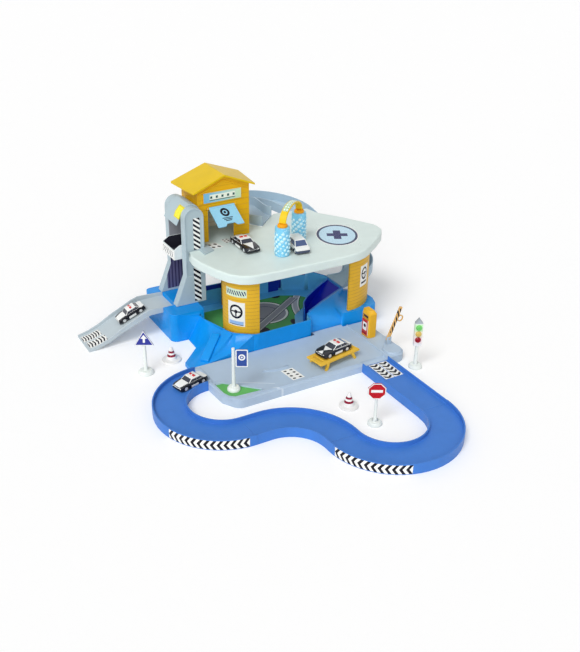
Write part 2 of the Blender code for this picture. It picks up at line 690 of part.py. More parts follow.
def make_house(parent, orange, yellow):
    """The house is open below; the roof is a separate piece laid over its gables."""
    back_y = HOUSE_FRONT_Y + HOUSE_DEPTH
    left = HOUSE_LEFT_X
    right = left + HOUSE_W
    middle = (left + right) / 2.0
    low = DECK_Z + FIT
    top_front = (ROOF_FRONT_Y, ROOF_FRONT_W / 2.0)
    top_back = (back_y + 0.9 * CM, ROOF_BACK_W / 2.0)
    corners = [(middle - top_front[1], top_front[0]), (middle + top_front[1], top_front[0]),
               (middle - top_back[1], top_back[0]), (middle + top_back[1], top_back[0])]
    beneath = gable(*corners, ROOF_EAVES_Z - ROOF_T - FIT, ROOF_EAVES_Z + ROOF_RISE - ROOF_T - FIT, low)
    walls = combined(box((left, HOUSE_FRONT_Y, low), (right, back_y, DECK_Z + 20 * CM)), beneath,
                     "INTERSECT")
    walls = cut(walls, box((left + WALL, HOUSE_FRONT_Y + WALL, 0.0),
                           (right - WALL, back_y - WALL, DECK_Z + 20 * CM)))
    door_right = DOOR_LEFT_X + DOOR_W
    doorway = box((DOOR_LEFT_X, HOUSE_FRONT_Y - CM, DECK_Z - CM),
                  (door_right, HOUSE_FRONT_Y + CM, DECK_Z + DOOR_H))
    side_way = box((left - CM, TOWER_FRONT_Y + COLUMN_T + WINDOW_EDGE + CM, DECK_Z - CM),
                   (left + CM, TOWER_FRONT_Y + COLUMN_T + SHAFT_W - WINDOW_EDGE, DECK_Z + WINDOW_H))
    walls = cut(walls, doorway, side_way)
    board = box((0.2 * CM, HOUSE_FRONT_Y - 0.2 * CM, 28.7 * CM),
                (9.8 * CM, HOUSE_FRONT_Y + 0.1 * CM, 31.3 * CM))
    walls = union(walls, board)
    for x in (DOOR_LEFT_X - LUG_T - FIT, door_right + FIT):
        lug = box((x, HINGE_Y - HINGE_R, HINGE_Z - HINGE_R),
                  (x + LUG_T, HOUSE_FRONT_Y + 0.1 * CM, HINGE_Z + HINGE_R))
        walls = union(walls, lug)
    bore = spun(turned([(PIN_R + FIT, -HOUSE_W), (PIN_R + FIT, HOUSE_W)], 12), math.pi / 2.0, "Y")
    walls = cut(walls, moved(bore, Vector((DOOR_LEFT_X, HINGE_Y, HINGE_Z))))
    add_object("house_body", walls, orange, parent)

    slab = gable(*corners, ROOF_EAVES_Z, ROOF_EAVES_Z + ROOF_RISE, ROOF_EAVES_Z - ROOF_T)
    under = [(x, y + (CM if y > back_y else -CM)) for x, y in corners]
    hollow = gable(*under, ROOF_EAVES_Z - ROOF_T, ROOF_EAVES_Z + ROOF_RISE - ROOF_T, 20 * CM)
    add_object("house_roof", cut(slab, hollow), yellow, parent)


def make_door_flap(parent, sky):
    """The flap hangs from its pin; its origin is on the pin's axis."""
    barrel = turned([(HINGE_R, FIT), (HINGE_R, DOOR_W - FIT)], 14)
    pin = turned([(PIN_R, -LUG_T), (PIN_R, DOOR_W + LUG_T)], 12)
    shape = spun(union(barrel, pin), math.pi / 2.0, "Y")
    notch = 0.7 * CM
    outline = [(FIT, 0.0), (FIT, -FLAP_L), (DOOR_W * 0.3, -FLAP_L), (DOOR_W * 0.38, notch - FLAP_L),
               (DOOR_W * 0.68, notch - FLAP_L), (DOOR_W * 0.76, -FLAP_L), (DOOR_W - FIT, -FLAP_L),
               (DOOR_W - FIT, 0.0)]
    plate = side_prism(outline, -FLAP_T / 2.0, FLAP_T / 2.0)
    shape = spun(union(shape, plate), -FLAP_ANGLE, "X")
    return add_object("house_door_flap", shape, sky, parent,
                      location=(DOOR_LEFT_X, HINGE_Y, HINGE_Z))


def rim_height(left_to_go, stop):
    """Full height, tapering to almost nothing at the given distance from the foot."""
    return SPIRAL_RIM * min(1.0, max(0.1, (left_to_go - stop) / RIM_TAPER))


def make_spiral(parent, slate):
    """The long channel: out of the deck's back, once round the back, in over the garage's side."""
    left_side = SPIRAL_CENTRE - Vector((SPIRAL_R, 0.0, 0.0))
    right_side = SPIRAL_CENTRE + Vector((SPIRAL_R, 0.0, 0.0))
    leaving = SPIRAL_MOUTH + SPIRAL_AWAY * SPIRAL_LEAD
    path = [SPIRAL_MOUTH + SPIRAL_AWAY * FIT]
    path += bezier(leaving, SPIRAL_MOUTH + SPIRAL_AWAY * SPIRAL_MOUTH_ARM,
                   left_side - Vector((0, SPIRAL_SIDE_ARM, 0)), left_side, 8)
    path += arc(SPIRAL_CENTRE, SPIRAL_R, 180.0, 0.0, 20)[1:]
    start, end = (math.radians(angle) for angle in SPIRAL_TURN)
    foot = SPIRAL_FOOT + Vector((FIT, 0.0, 0.0))
    last_bit = Vector((-math.sin(end), math.cos(end), 0.0)) * SPIRAL_LAST_L
    centre = foot + last_bit - Vector((math.cos(end), math.sin(end), 0.0)) * SPIRAL_TURN_R
    turn = arc(centre, SPIRAL_TURN_R, *SPIRAL_TURN, 14)
    into_turn = Vector((-math.sin(start), math.cos(start), 0.0)) * SPIRAL_TURN_ARM
    way_down = right_side - Vector((0, SPIRAL_DOWN_ARM, 0))
    path += bezier(right_side, way_down, turn[0] + into_turn, turn[0], 10)[1:]
    path += turn[1:]
    path.append(foot)
    lengths = [0.0]
    for first, second in zip(path, path[1:]):
        lengths.append(lengths[-1] + (second - first).length)
    sections = []
    for point, done in zip(path, lengths):
        share = max(0.0, done / lengths[-1] - SPIRAL_LEVEL) / (1.0 - SPIRAL_LEVEL)
        point.z = DECK_Z + (SPIRAL_FOOT_Z - DECK_Z) * share
        left_to_go = lengths[-1] - done
        sections.append(trough_section(SPIRAL_W, rim_height(left_to_go, 0.0),
                                       rim_height(left_to_go, INNER_RIM_END), SPIRAL_WALL))
    return add_object("spiral_ramp", sweep(path, sections, Vector((-1.0, 0.0))), slate, parent)


def make_car_wash(parent, foam, orange, lime):
    span = WASH_REAR - WASH_FRONT
    for name, centre in (("front", WASH_FRONT), ("rear", WASH_REAR)):
        roller = turned([(AXLE_PIN_R, -0.6 * CM), (AXLE_PIN_R, 0.0), (ROLLER_R - 0.1 * CM, 0.0),
                         (ROLLER_R, 0.15 * CM), (ROLLER_R, ROLLER_H - 0.15 * CM),
                         (ROLLER_R - 0.1 * CM, ROLLER_H), (AXLE_PIN_R, ROLLER_H),
                         (AXLE_PIN_R, ROLLER_H + 0.8 * CM)], 28)
        add_object("wash_roller_" + name, roller, foam, parent,
                   location=centre + Vector((0, 0, DECK_Z + FIT)))
        cap = turned([(CAP_R, 0.0), (CAP_R, CAP_H - 0.3 * CM), (CAP_R - 0.25 * CM, CAP_H)], 24)
        cap = cut(cap, turned([(AXLE_PIN_R + FIT, -CM), (AXLE_PIN_R + FIT, 0.8 * CM + FIT)]))
        add_object("wash_cap_" + name, cap, orange, parent,
                   location=centre + Vector((0, 0, DECK_Z + ROLLER_H + 2.0 * FIT)))
    points = []
    for radius_shift in (ARCH_T / 2.0, -ARCH_T / 2.0):
        half = []
        for step in range(17):
            angle = math.pi * step / 16
            half.append(((span.length / 2.0 + radius_shift) * math.cos(angle),
                         (ARCH_RISE + radius_shift) * math.sin(angle)))
        points += half if radius_shift > 0 else list(reversed(half))
    arch = spun(side_prism(points, -ARCH_W / 2.0, ARCH_W / 2.0), math.atan2(span.y, span.x), "Z")
    foot_z = DECK_Z + ROLLER_H + CAP_H + 3.0 * FIT
    add_object("wash_arch", arch, lime, parent,
               location=(WASH_FRONT + WASH_REAR) / 2.0 + Vector((0, 0, foot_z)))


def ribbon(points, width, low, high):
    """A low wall that follows a line of (x, y) points in cm."""
    path = [Vector((x, y, 0.0)) * CM for x, y in points]
    half = width / 2.0
    return sweep(path, [[(-half, low), (half, low), (half, high), (-half, high)]] * len(path))


def make_platform(parent, ice):
    left = PLATFORM_LEFT_X / CM
    right = PLATFORM_RIGHT_X / CM
    front = PLATFORM_FRONT_Y / CM
    back = PLATFORM_BACK_Y / CM
    lane = TRACK_EXIT_X / CM + TRACK_W / (2.0 * CM)
    step_left = 16.8
    step_right = lane - 0.8
    outline = rounded([(left, back, 0.5), (left, -4.4, 0.0), (left + 0.3, -9.6, 1.0),
                       (-10.6, front, 2.2), (lane + 0.05, front, 0.0), (lane + 0.15, front - 0.3, 0.0),
                       (right, front - 0.3, 2.4), (right, back + 0.25, 0.5), (step_right, back + 0.25, 0.0),
                       (step_right, back + 1.3, 0.0), (step_left, back + 1.3, 0.0), (step_left, back, 0.0)])
    shape = prism(outline, 0.0, PLATFORM_Z)
    high = PLATFORM_Z + CURB_H
    low = PLATFORM_Z - 0.2 * CM
    curbs = [ribbon([(-12.6, -4.2), (-12.3, -9.4), (-11.6, -11.4), (-10.4, -12.6), (-8.6, -12.8),
                     (-4.6, -12.2), (-0.5, -12.6), (18.2, -12.6)], CURB_W, low, high),
             ribbon([(-12.5, -5.1), (-10.4, -5.4), (-4.5, -11.4)], CURB_W, low, high),
             ribbon([(-1.0, -5.2), (1.5, -6.2), (4.6, -6.2)], CURB_W, low, high),
             ribbon([(lane + 0.1, back - 0.05), (lane + 0.1, -11.4), (lane - 0.1, -12.9)],
                    CURB_W, low, high)]
    boss = moved(turned([(2.1 * CM, 0.3 * CM), (2.1 * CM, PLATFORM_Z + 0.3 * CM),
                         (1.9 * CM, PLATFORM_Z + 0.5 * CM)], 28),
                 Vector((PLATFORM_RIGHT_X - 2.35 * CM, -10.95 * CM, 0.0)))
    shape = union(shape, boss, *curbs)
    reach = 0.8 * CM
    side = ARM_T / 2.0 + FIT
    foot = Vector((ARM_X, ARM_Y, 0.0))
    for y in (side, -side - LUG_T):
        lug = box(foot + Vector((-0.55 * CM, y, low)),
                  foot + Vector((0.55 * CM, y + LUG_T, ARM_PIVOT_Z + 0.45 * CM)))
        shape = union(shape, lug)
    bore = spun(turned([(PIN_R + FIT, -reach), (PIN_R + FIT, reach)], 12), math.pi / 2.0, "X")
    shape = cut(shape, moved(bore, foot + Vector((0, 0, ARM_PIVOT_Z))))
    half_road = TRACK_W / 2.0 - TRACK_WALL
    mouth_left = box((PLATFORM_LEFT_X - CM, TRACK_JOINT_Y - half_road, TRACK_ROAD_Z),
                     (PLATFORM_LEFT_X + MOUTH_L, TRACK_JOINT_Y + half_road, 2.0 * PLATFORM_Z))
    mouth_right = box((TRACK_EXIT_X - half_road, PLATFORM_FRONT_Y - CM, TRACK_ROAD_Z),
                      (TRACK_EXIT_X + half_road, PLATFORM_FRONT_Y + MOUTH_L, 2.0 * PLATFORM_Z))
    hollow = prism(inset(outline, WALL), -CM, PLATFORM_Z - 0.8 * CM)
    shape = cut(shape, mouth_left, mouth_right, hollow)
    return add_object("front_platform", shape, ice, parent)


def make_car_stand(parent, gold):
    """A small workbench for a car: two rails with cross bars on four legs."""
    half_l = STAND_L / 2.0
    half_w = STAND_W / 2.0
    top = STAND_Z - PLATFORM_Z - FIT
    under = top - STAND_T
    rail = 0.9 * CM
    shape = box((-half_l, -half_w, under), (half_l, rail - half_w, top))
    shape = union(shape, box((-half_l, half_w - rail, under), (half_l, half_w, top)))
    for x in (-0.92 * half_l, -0.35 * half_l, 0.2 * half_l, 0.92 * half_l):
        shape = union(shape, box((x - 0.45 * CM, -half_w + 0.1 * CM, under + 0.05 * CM),
                                 (x + 0.45 * CM, half_w - 0.1 * CM, top - 0.05 * CM)))
    for x in (-0.6 * half_l, 0.6 * half_l):
        for y in (-half_w, half_w):
            foot_x = x * 1.25
            foot_y = y * 1.12
            inward = -0.4 * CM if y > 0 else 0.4 * CM
            leg = hull([Vector((x + dx, y + dy, top - 0.1 * CM)) for dx in (-0.4 * CM, 0.4 * CM)
                        for dy in (0.0, inward)]
                       + [Vector((foot_x + dx, foot_y + dy, 0.0)) for dx in (-0.3 * CM, 0.3 * CM)
                          for dy in (0.0, inward)])
            shape = union(shape, leg)
    return add_object("car_stand", shape, gold, parent,
                      location=STAND_CENTRE + Vector((0, 0, PLATFORM_Z + FIT)),
                      rotation=(0, 0, STAND_TURN))


def make_pump(parent, orange, white):
    """The fuel pump and its printed front plate."""
    left, right = PUMP_X
    near, far = PUMP_Y
    low = PLATFORM_Z + FIT
    high = low + PUMP_H
    outline = rounded([(left / CM, near / CM, 0.5), (right / CM, near / CM, 0.5),
                       (right / CM, far / CM, 0.5), (left / CM, far / CM, 0.5)], 3)
    column = prism(outline, low, high - 0.9 * CM)
    top = hull([Vector((x, y, high - CM)) for x, y in outline]
               + [Vector((x, y, high)) for x in (left + 0.2 * CM, right - 0.7 * CM)
                  for y in (near + 0.4 * CM, far - 0.4 * CM)])
    shape = union(column, top)
    deep = left + 0.2 * CM
    sunk = box((left - CM, near + 0.4 * CM, low + 0.4 * CM), (deep, far - 0.4 * CM, low + 4.3 * CM))
    window = box((left - CM, near + 0.6 * CM, low + 4.6 * CM), (deep, far - 0.6 * CM, low + 5.2 * CM))
    shape = cut(shape, sunk, window)
    add_object("fuel_pump", shape, orange, parent)
    plate = box((left - 0.1 * CM, near + 0.4 * CM + FIT, low + 0.4 * CM + FIT),
                (deep - FIT, far - 0.4 * CM - FIT, low + 4.3 * CM - FIT))
    add_object("fuel_pump_plate", plate, white, parent)


def make_barrier(parent, gold):
    """The arm turns on its pin; its origin is on the pin's axis."""
    half = ARM_W / 2.0
    bar = side_prism([(-half, -half), (half, -half), (half * 0.8, ARM_L), (-half * 0.8, ARM_L)],
                     -ARM_T / 2.0, ARM_T / 2.0)
    pin = spun(turned([(PIN_R, -ARM_T / 2.0 - LUG_T), (PIN_R, ARM_T / 2.0 + LUG_T)], 12),
               math.pi / 2.0, "X")
    ring = turned([(RING_R, -ARM_T / 3.0), (RING_R, ARM_T / 3.0)], 20)
    ring = cut(ring, turned([(RING_R - 0.25 * CM, -CM), (RING_R - 0.25 * CM, CM)], 20))
    ring = moved(spun(ring, math.pi / 2.0, "X"), Vector((half * 0.9 + RING_R - 0.15 * CM, 0, ARM_L * 0.66)))
    shape = spun(union(bar, pin, ring), ARM_LEAN, "Y")
    return add_object("barrier_arm", shape, gold, parent, location=(ARM_X, ARM_Y, ARM_PIVOT_Z))


def make_track(parent, blue):
    """Four channel pieces laid end to end on the table, both ends against the platform."""
    section = track_section()
    straight_bit = 0.25 * CM
    left_x = PLATFORM_LEFT_X - straight_bit
    low_y = TRACK_JOINT_Y - 2.0 * TRACK_R
    bend_x = TRACK_EXIT_X - 3.0 * TRACK_R
    bottom_y = low_y - TRACK_R
    curve = [Vector((PLATFORM_LEFT_X - FIT, TRACK_JOINT_Y, 0.0))]
    curve += arc((left_x, TRACK_JOINT_Y - TRACK_R), TRACK_R, 90.0, 270.0, 28)
    curve.append(Vector((PLATFORM_LEFT_X, low_y, 0.0)))
    add_object("track_curve_left", sweep(curve, [section] * len(curve)), blue, parent)
    bend = [Vector((PLATFORM_LEFT_X + FIT, low_y, 0.0)), Vector((bend_x - straight_bit, low_y, 0.0))]
    bend += arc((bend_x, bottom_y), TRACK_R, 90.0, 0.0, 14)
    bend.append(Vector((bend_x + TRACK_R, bottom_y - straight_bit, 0.0)))
    add_object("track_bend", sweep(bend, [section] * len(bend)), blue, parent)
    low_end = bottom_y - straight_bit - FIT
    centre = (TRACK_EXIT_X - TRACK_R, low_end - straight_bit)
    curve = [Vector((TRACK_EXIT_X - 2.0 * TRACK_R, low_end, 0.0))]
    curve += arc(centre, TRACK_R, 180.0, 360.0, 28)
    curve.append(Vector((TRACK_EXIT_X, low_end, 0.0)))
    add_object("track_curve_right", sweep(curve, [section] * len(curve)), blue, parent)
    run = [Vector((TRACK_EXIT_X, low_end + FIT, 0.0)), Vector((TRACK_EXIT_X, PLATFORM_FRONT_Y - FIT, 0.0))]
    add_object("track_straight", sweep(run, [section] * len(run)), blue, parent)


def sign_post(name, centre, low, height, foot_r, pole_r, material, parent):
    shape = turned([(foot_r, 0.0), (foot_r, 0.4 * CM), (foot_r * 0.78, 0.85 * CM),
                    (pole_r, 0.85 * CM), (pole_r * 0.8, height)], 20)
    return add_object(name, shape, material, parent, location=centre + Vector((0, 0, low)))


def regular(sides, radius, turn):
    return [(radius * math.cos(turn + 2.0 * math.pi * index / sides),
             radius * math.sin(turn + 2.0 * math.pi * index / sides)) for index in range(sides)]


def make_signs(parent, white, indigo, red, amber, green):
    """Three road signs, a traffic light and two cones, all free-standing."""
    sign_post("triangle_sign_post", TRIANGLE_SIGN, 0.0, 6.7 * CM, 1.7 * CM, 0.42 * CM, white, parent)
    panel = side_prism([(-2.05 * CM, 0.0), (2.05 * CM, 0.0), (0.0, 3.5 * CM)], -SIGN_T / 2.0, SIGN_T / 2.0)
    add_object("triangle_sign_panel", panel, indigo, parent,
               location=TRIANGLE_SIGN + Vector((0, 0, 6.7 * CM + FIT)), rotation=(0, 0, SIGN_TURN))

    sign_post("panel_sign_post", PANEL_SIGN, PLATFORM_Z + FIT, 9.6 * CM, 1.35 * CM, 0.4 * CM, white, parent)
    outline = rounded([(0.4, 0.0, 0.3), (2.9, 0.0, 0.3), (2.9, 4.0, 0.3), (0.4, 4.0, 0.3)], 3)
    panel = side_prism([(point.x + FIT, point.y) for point in outline], -SIGN_T / 2.0, SIGN_T / 2.0)
    add_object("panel_sign_panel", panel, white, parent,
               location=PANEL_SIGN + Vector((0, 0, 7.2 * CM)), rotation=(0, 0, SIGN_TURN))

    sign_post("octagon_sign_post", OCTAGON_SIGN, 0.0, 5.75 * CM, 1.45 * CM, 0.35 * CM, white, parent)
    plate = side_prism(regular(8, 1.85 * CM, math.pi / 8.0), -SIGN_T / 2.0, SIGN_T / 2.0)
    add_object("octagon_sign_panel", plate, red, parent,
               location=OCTAGON_SIGN + Vector((0, 0, 5.75 * CM + FIT + 1.85 * CM * math.cos(math.pi / 8.0))),
               rotation=(0, 0, SIGN_TURN))

    sign_post("traffic_light_post", TRAFFIC_LIGHT, 0.0, 5.4 * CM, 1.5 * CM, 0.45 * CM, white, parent)
    head = side_prism([(-1.05 * CM, 0.0), (1.05 * CM, 0.0), (1.05 * CM, 5.3 * CM), (0.0, 6.4 * CM),
                       (-1.05 * CM, 5.3 * CM)], -0.5 * CM, 0.5 * CM)
    for height in LAMP_HEIGHTS:
        bore = spun(turned([(LAMP_R + FIT, 0.15 * CM), (LAMP_R + FIT, CM)]), math.pi / 2.0, "X")
        head = cut(head, moved(bore, Vector((0, 0, height))))
    light_z = 5.4 * CM + FIT
    add_object("traffic_light_head", head, white, parent,
               location=TRAFFIC_LIGHT + Vector((0, 0, light_z)), rotation=(0, 0, SIGN_TURN))
    facing = Vector((math.sin(SIGN_TURN), -math.cos(SIGN_TURN), 0.0))
    for name, height, material in zip(("red", "amber", "green"), LAMP_HEIGHTS, (red, amber, green)):
        lamp = spun(turned([(LAMP_R, 0.0), (LAMP_R, 0.4 * CM), (LAMP_R * 0.7, 0.6 * CM)]),
                    math.pi / 2.0, "X")
        add_object("traffic_lamp_" + name, lamp, material, parent,
                   location=TRAFFIC_LIGHT + facing * (0.15 * CM + FIT) + Vector((0, 0, light_z + height)),
                   rotation=(0, 0, SIGN_TURN))

    for name, centre, scale in (("left", CONE_LEFT, 1.0), ("front", CONE_FRONT, 0.95)):
        shape = turned([(2.1 * CM * scale, 0.0), (2.1 * CM * scale, 0.35 * CM), (1.15 * CM, 0.5 * CM),
                        (0.28 * CM, 3.2 * CM), (0.12 * CM, 3.3 * CM)], 24)
        add_object("cone_" + name, shape, white, parent, location=centre)


def soften(shape, width):
    bmesh.ops.bevel(shape, geom=shape.edges[:], offset=width, segments=2, profile=0.7, affect="EDGES")
    return shape


def along_y(profile, sides):
    """A turned solid laid along Y."""
    return spun(turned(profile, sides), -math.pi / 2.0, "X")


def make_car(name, car, parent, paint, tyre):
    """A die-cast car: one body and two wheel pairs that turn in its axle bores."""
    length = car["length"]
    width = car["width"]
    height = car["height"]
    belt = height * car["belt"]
    half_l = length / 2.0
    half_w = width / 2.0
    axle_x = length * 0.31
    low = 0.3 * CM
    lower = soften(side_prism([(-half_l, low), (half_l, low), (half_l, belt * 0.72),
                               (half_l * 0.84, belt * 0.9), (half_l * 0.4, belt),
                               (-half_l * 0.94, belt), (-half_l, belt * 0.8)], -half_w, half_w), 0.14 * CM)
    rear, front, top_rear, top_front = (half_l * value for value in car["cabin"])
    cabin = soften(hull([Vector((rear, side * half_w * 0.9, belt - 0.2 * CM)) for side in (-1, 1)]
                        + [Vector((front, side * half_w * 0.9, belt - 0.2 * CM)) for side in (-1, 1)]
                        + [Vector((top_rear, side * half_w * 0.7, height)) for side in (-1, 1)]
                        + [Vector((top_front, side * half_w * 0.7, height)) for side in (-1, 1)]),
                   0.12 * CM)
    shape = union(lower, cabin)
    bar_x = (top_rear + top_front) / 2.0
    if car["lights"]:
        shape = union(shape, box((bar_x - 0.25 * CM, -half_w * 0.5, height - 0.1 * CM),
                                 (bar_x + 0.25 * CM, half_w * 0.5, height + 0.2 * CM)))
    arch_r = WHEEL_R + 2.0 * WHEEL_PLAY
    inner = half_w - WHEEL_W - 3.0 * WHEEL_PLAY
    for x in (-axle_x, axle_x):
        bore = along_y([(CAR_AXLE_R + FIT, -width), (CAR_AXLE_R + FIT, width)], 10)
        shape = cut(shape, moved(bore, Vector((x, 0.0, WHEEL_R))))
        for side in (-1, 1):
            low_y, high_y = sorted((side * inner, side * width))
            arch = along_y([(arch_r, low_y), (arch_r, high_y)], 16)
            shape = cut(shape, moved(arch, Vector((x, 0.0, WHEEL_R))))
    holder = bpy.data.objects.new(name + "_place", None)
    holder.parent = parent
    holder.location = car["place"] * CM + Vector((0, 0, FIT))
    holder.rotation_euler = (0.0, math.radians(car["pitch"]), math.radians(car["heading"]))
    bpy.context.collection.objects.link(holder)
    add_object(name + "_body", shape, paint, holder)
    outer_y = half_w - WHEEL_PLAY
    inner_y = outer_y - WHEEL_W
    for label, x in (("front", axle_x), ("rear", -axle_x)):
        pair = along_y([(WHEEL_R * 0.8, -outer_y), (WHEEL_R, -outer_y + 0.08 * CM), (WHEEL_R, -inner_y),
                        (CAR_AXLE_R, -inner_y), (CAR_AXLE_R, inner_y), (WHEEL_R, inner_y),
                        (WHEEL_R, outer_y - 0.08 * CM), (WHEEL_R * 0.8, outer_y)], 16)
        add_object(name + "_wheels_" + label, pair, tyre, holder, location=(x, 0.0, WHEEL_R))


CARS = {
    "track_car": {"length": 7.2 * CM, "width": 3.1 * CM, "height": 2.1 * CM, "belt": 0.68, "lights": True,
                  "cabin": (-0.72, 0.42, -0.42, 0.12), "place": Vector((-16.15, -2.05, 1.35)),
                  "heading": 195.0, "pitch": 0.0},
    "stand_car": {"length": 8.0 * CM, "width": 3.4 * CM, "height": 2.2 * CM, "belt": 0.67, "lights": True,
                  "cabin": (-0.86, 0.4, -0.45, 0.05), "place": Vector((14.6, -8.0, 3.6)),
                  "heading": 190.0, "pitch": 0.0},
    "ramp_car": {"length": 6.9 * CM, "width": 3.1 * CM, "height": 2.1 * CM, "belt": 0.68, "lights": True,
                 "cabin": (-0.72, 0.42, -0.42, 0.12), "place": Vector((-17.6, 26.8, 4.57)),
                 "heading": 180.0, "pitch": 21.66},
    "deck_car": {"length": 8.8 * CM, "width": 3.6 * CM, "height": 2.2 * CM, "belt": 0.67, "lights": True,
                 "cabin": (-0.74, 0.36, -0.4, 0.08), "place": Vector((7.1, 18.0, 19.6)),
                 "heading": 270.0, "pitch": 0.0},
    "wash_car": {"length": 6.6 * CM, "width": 3.5 * CM, "height": 2.7 * CM, "belt": 0.56, "lights": False,
                 "cabin": (-0.92, 0.62, -0.84, 0.3), "place": Vector((16.9, 11.2, 19.6)),
                 "heading": 262.0, "pitch": 0.0},
}


def main():
    clear_scene()
    azure = plastic("azure_plastic", (0.01, 0.25, 0.72), 0.3)
    navy = plastic("navy_plastic", (0.0, 0.02, 0.32), 0.3)
    slate = plastic("slate_plastic", (0.32, 0.42, 0.58), 0.35)
    grey = plastic("grey_plastic", (0.4, 0.48, 0.52), 0.35)
    pale = plastic("pale_plastic", (0.66, 0.73, 0.72), 0.35)
    ice = plastic("ice_plastic", (0.43, 0.56, 0.7), 0.35)
    blue = plastic("track_plastic", (0.06, 0.22, 0.63), 0.35)
    purple = plastic("purple_plastic", (0.05, 0.04, 0.12), 0.4)
    amber = plastic("amber_plastic", (0.78, 0.4, 0.02), 0.35)
    yellow = plastic("yellow_plastic", (0.7, 0.52, 0.0), 0.35)
    gold = plastic("gold_plastic", (0.8, 0.5, 0.06), 0.35)
    sky = plastic("sky_plastic", (0.2, 0.55, 0.8), 0.35)
    lime = plastic("lime_plastic", (0.5, 0.6, 0.1), 0.35)
    white = plastic("white_plastic", (0.8, 0.82, 0.78), 0.35)
    indigo = plastic("indigo_plastic", (0.06, 0.09, 0.35), 0.35)
    red = plastic("red_plastic", (0.6, 0.02, 0.03), 0.3)
    green = plastic("green_plastic", (0.1, 0.55, 0.1), 0.3)
    printed = plastic("printed_card", (0.2, 0.5, 0.2), 0.6)
    paint = plastic("car_paint", (0.75, 0.75, 0.75), 0.25)
    tyre = plastic("tyre_plastic", (0.02, 0.02, 0.02), 0.6)

    layout = layout_empty()
    make_base(layout, azure)
    make_floor_mat(layout, printed)
    make_lane(layout, navy)
    pillar("front_pillar", PILLAR_FRONT_CENTRE, PILLAR_R, PILLAR_FRONT_SPAN, FLOOR_T, amber, layout)
    pillar("right_pillar", PILLAR_RIGHT_CENTRE, PILLAR_RIGHT_R, PILLAR_RIGHT_SPAN, LEDGE_Z, amber, layout)
    pillar("rear_pillar", PILLAR_REAR_CENTRE, PILLAR_R, PILLAR_REAR_SPAN, FLOOR_T, amber, layout)
    make_deck(layout, pale)
    make_columns(layout, grey)
    make_shaft(layout, purple, grey)
    make_lift_tray(layout, grey)
    make_left_ramp(layout, grey)
    make_house(layout, amber, yellow)
    make_door_flap(layout, sky)
    make_spiral(layout, slate)
    make_car_wash(layout, sky, amber, lime)
    make_platform(layout, ice)
    make_car_stand(layout, gold)
    make_pump(layout, amber, white)
    make_barrier(layout, gold)
    make_track(layout, blue)
    make_signs(layout, white, indigo, red, amber, green)
    for name, car in CARS.items():
        make_car(name, car, layout, paint, tyre)


main()
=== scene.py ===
# The looks of the toy police garage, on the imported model: finishes, prints and finer shapes.
import json
import math

import bmesh
import bpy
from mathutils import Euler, Matrix, Vector


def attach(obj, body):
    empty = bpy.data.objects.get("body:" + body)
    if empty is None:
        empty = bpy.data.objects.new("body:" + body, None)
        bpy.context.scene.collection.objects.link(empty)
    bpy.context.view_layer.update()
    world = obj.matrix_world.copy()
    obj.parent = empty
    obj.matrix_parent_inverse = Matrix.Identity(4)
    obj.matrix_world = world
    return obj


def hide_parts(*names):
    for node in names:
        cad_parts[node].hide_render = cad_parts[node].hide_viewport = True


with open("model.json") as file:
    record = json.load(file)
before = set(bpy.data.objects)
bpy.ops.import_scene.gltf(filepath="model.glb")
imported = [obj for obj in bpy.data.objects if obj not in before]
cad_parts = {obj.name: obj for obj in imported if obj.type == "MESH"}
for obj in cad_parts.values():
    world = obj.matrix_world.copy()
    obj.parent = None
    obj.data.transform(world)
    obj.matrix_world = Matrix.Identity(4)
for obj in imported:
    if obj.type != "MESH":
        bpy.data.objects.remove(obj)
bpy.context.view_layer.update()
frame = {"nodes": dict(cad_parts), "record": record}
nodes = frame["nodes"]
slotOf = {entry["node"]: entry["material_slot"] for entry in frame["record"]["subparts"]}
bodyOf = {node: body for body, held in frame["record"]["behaviour"]["bodies"].items() for node in held}

# Places are written in layout centimetres: x right along the platform, y back, z up.
cm = 0.01
layoutShift = Vector((-0.10, -0.15, 0.0))
upward = Vector((0.0, 0.0, 1.0))


def spot(x, y, z=0.0):
    return Vector((x, y, z)) * cm + layoutShift


def layoutPlace(face):
    return (face.calc_center_median() - layoutShift) / cm


def srgb(red, green, blue):
    def plain(share):
        return share / 12.92 if share <= 0.04045 else ((share + 0.055) / 1.055) ** 2.4
    return (plain(red / 255), plain(green / 255), plain(blue / 255), 1.0)


# Node helpers: a socket is fed by a number, a colour, a vector or a signal.
class Signal:
    # a node's output, which formulas take as they take a number
    def __init__(self, tree, socket):
        self.tree = tree
        self.socket = socket

    def math(self, operation, *others):
        return wired(self.tree, "Math", 0, enumerate((self, *others)), operation=operation)

    def vector(self, operation, *others):
        output = "Value" if operation == "DOT_PRODUCT" else "Vector"
        places = (0, "Scale" if operation == "SCALE" else 1)
        return wired(self.tree, "VectorMath", output, zip(places, (self, *others)), operation=operation)

    def near(self, middle, reach):
        return self.math("COMPARE", middle, reach)

    def __add__(self, other):
        return self.math("ADD", other)

    def __sub__(self, other):
        return self.math("SUBTRACT", other)

    def __rsub__(self, other):
        return self.math("MULTIPLY_ADD", -1.0, other)

    def __mul__(self, other):
        return self.math("MULTIPLY", other)

    def __truediv__(self, other):
        return self.math("DIVIDE", other)

    def __lt__(self, other):
        return self.math("LESS_THAN", other)

    def __gt__(self, other):
        return self.math("GREATER_THAN", other)

    def __abs__(self):
        return self.math("ABSOLUTE")


def feed(tree, socket, source):
    if isinstance(source, Signal):
        tree.links.new(source.socket, socket)
    elif socket.type == "VECTOR":
        socket.default_value = tuple(source)[:3]
    else:
        socket.default_value = source


def wired(tree, kind, output, sources=(), **settings):
    # a new node with its settings and sources, as the signal of one output
    node = tree.nodes.new("ShaderNode" + kind)
    for name, value in settings.items():
        setattr(node, name, value)
    for place, source in dict(sources).items():
        feed(tree, node.inputs[place], source)
    return Signal(tree, node.outputs[output])


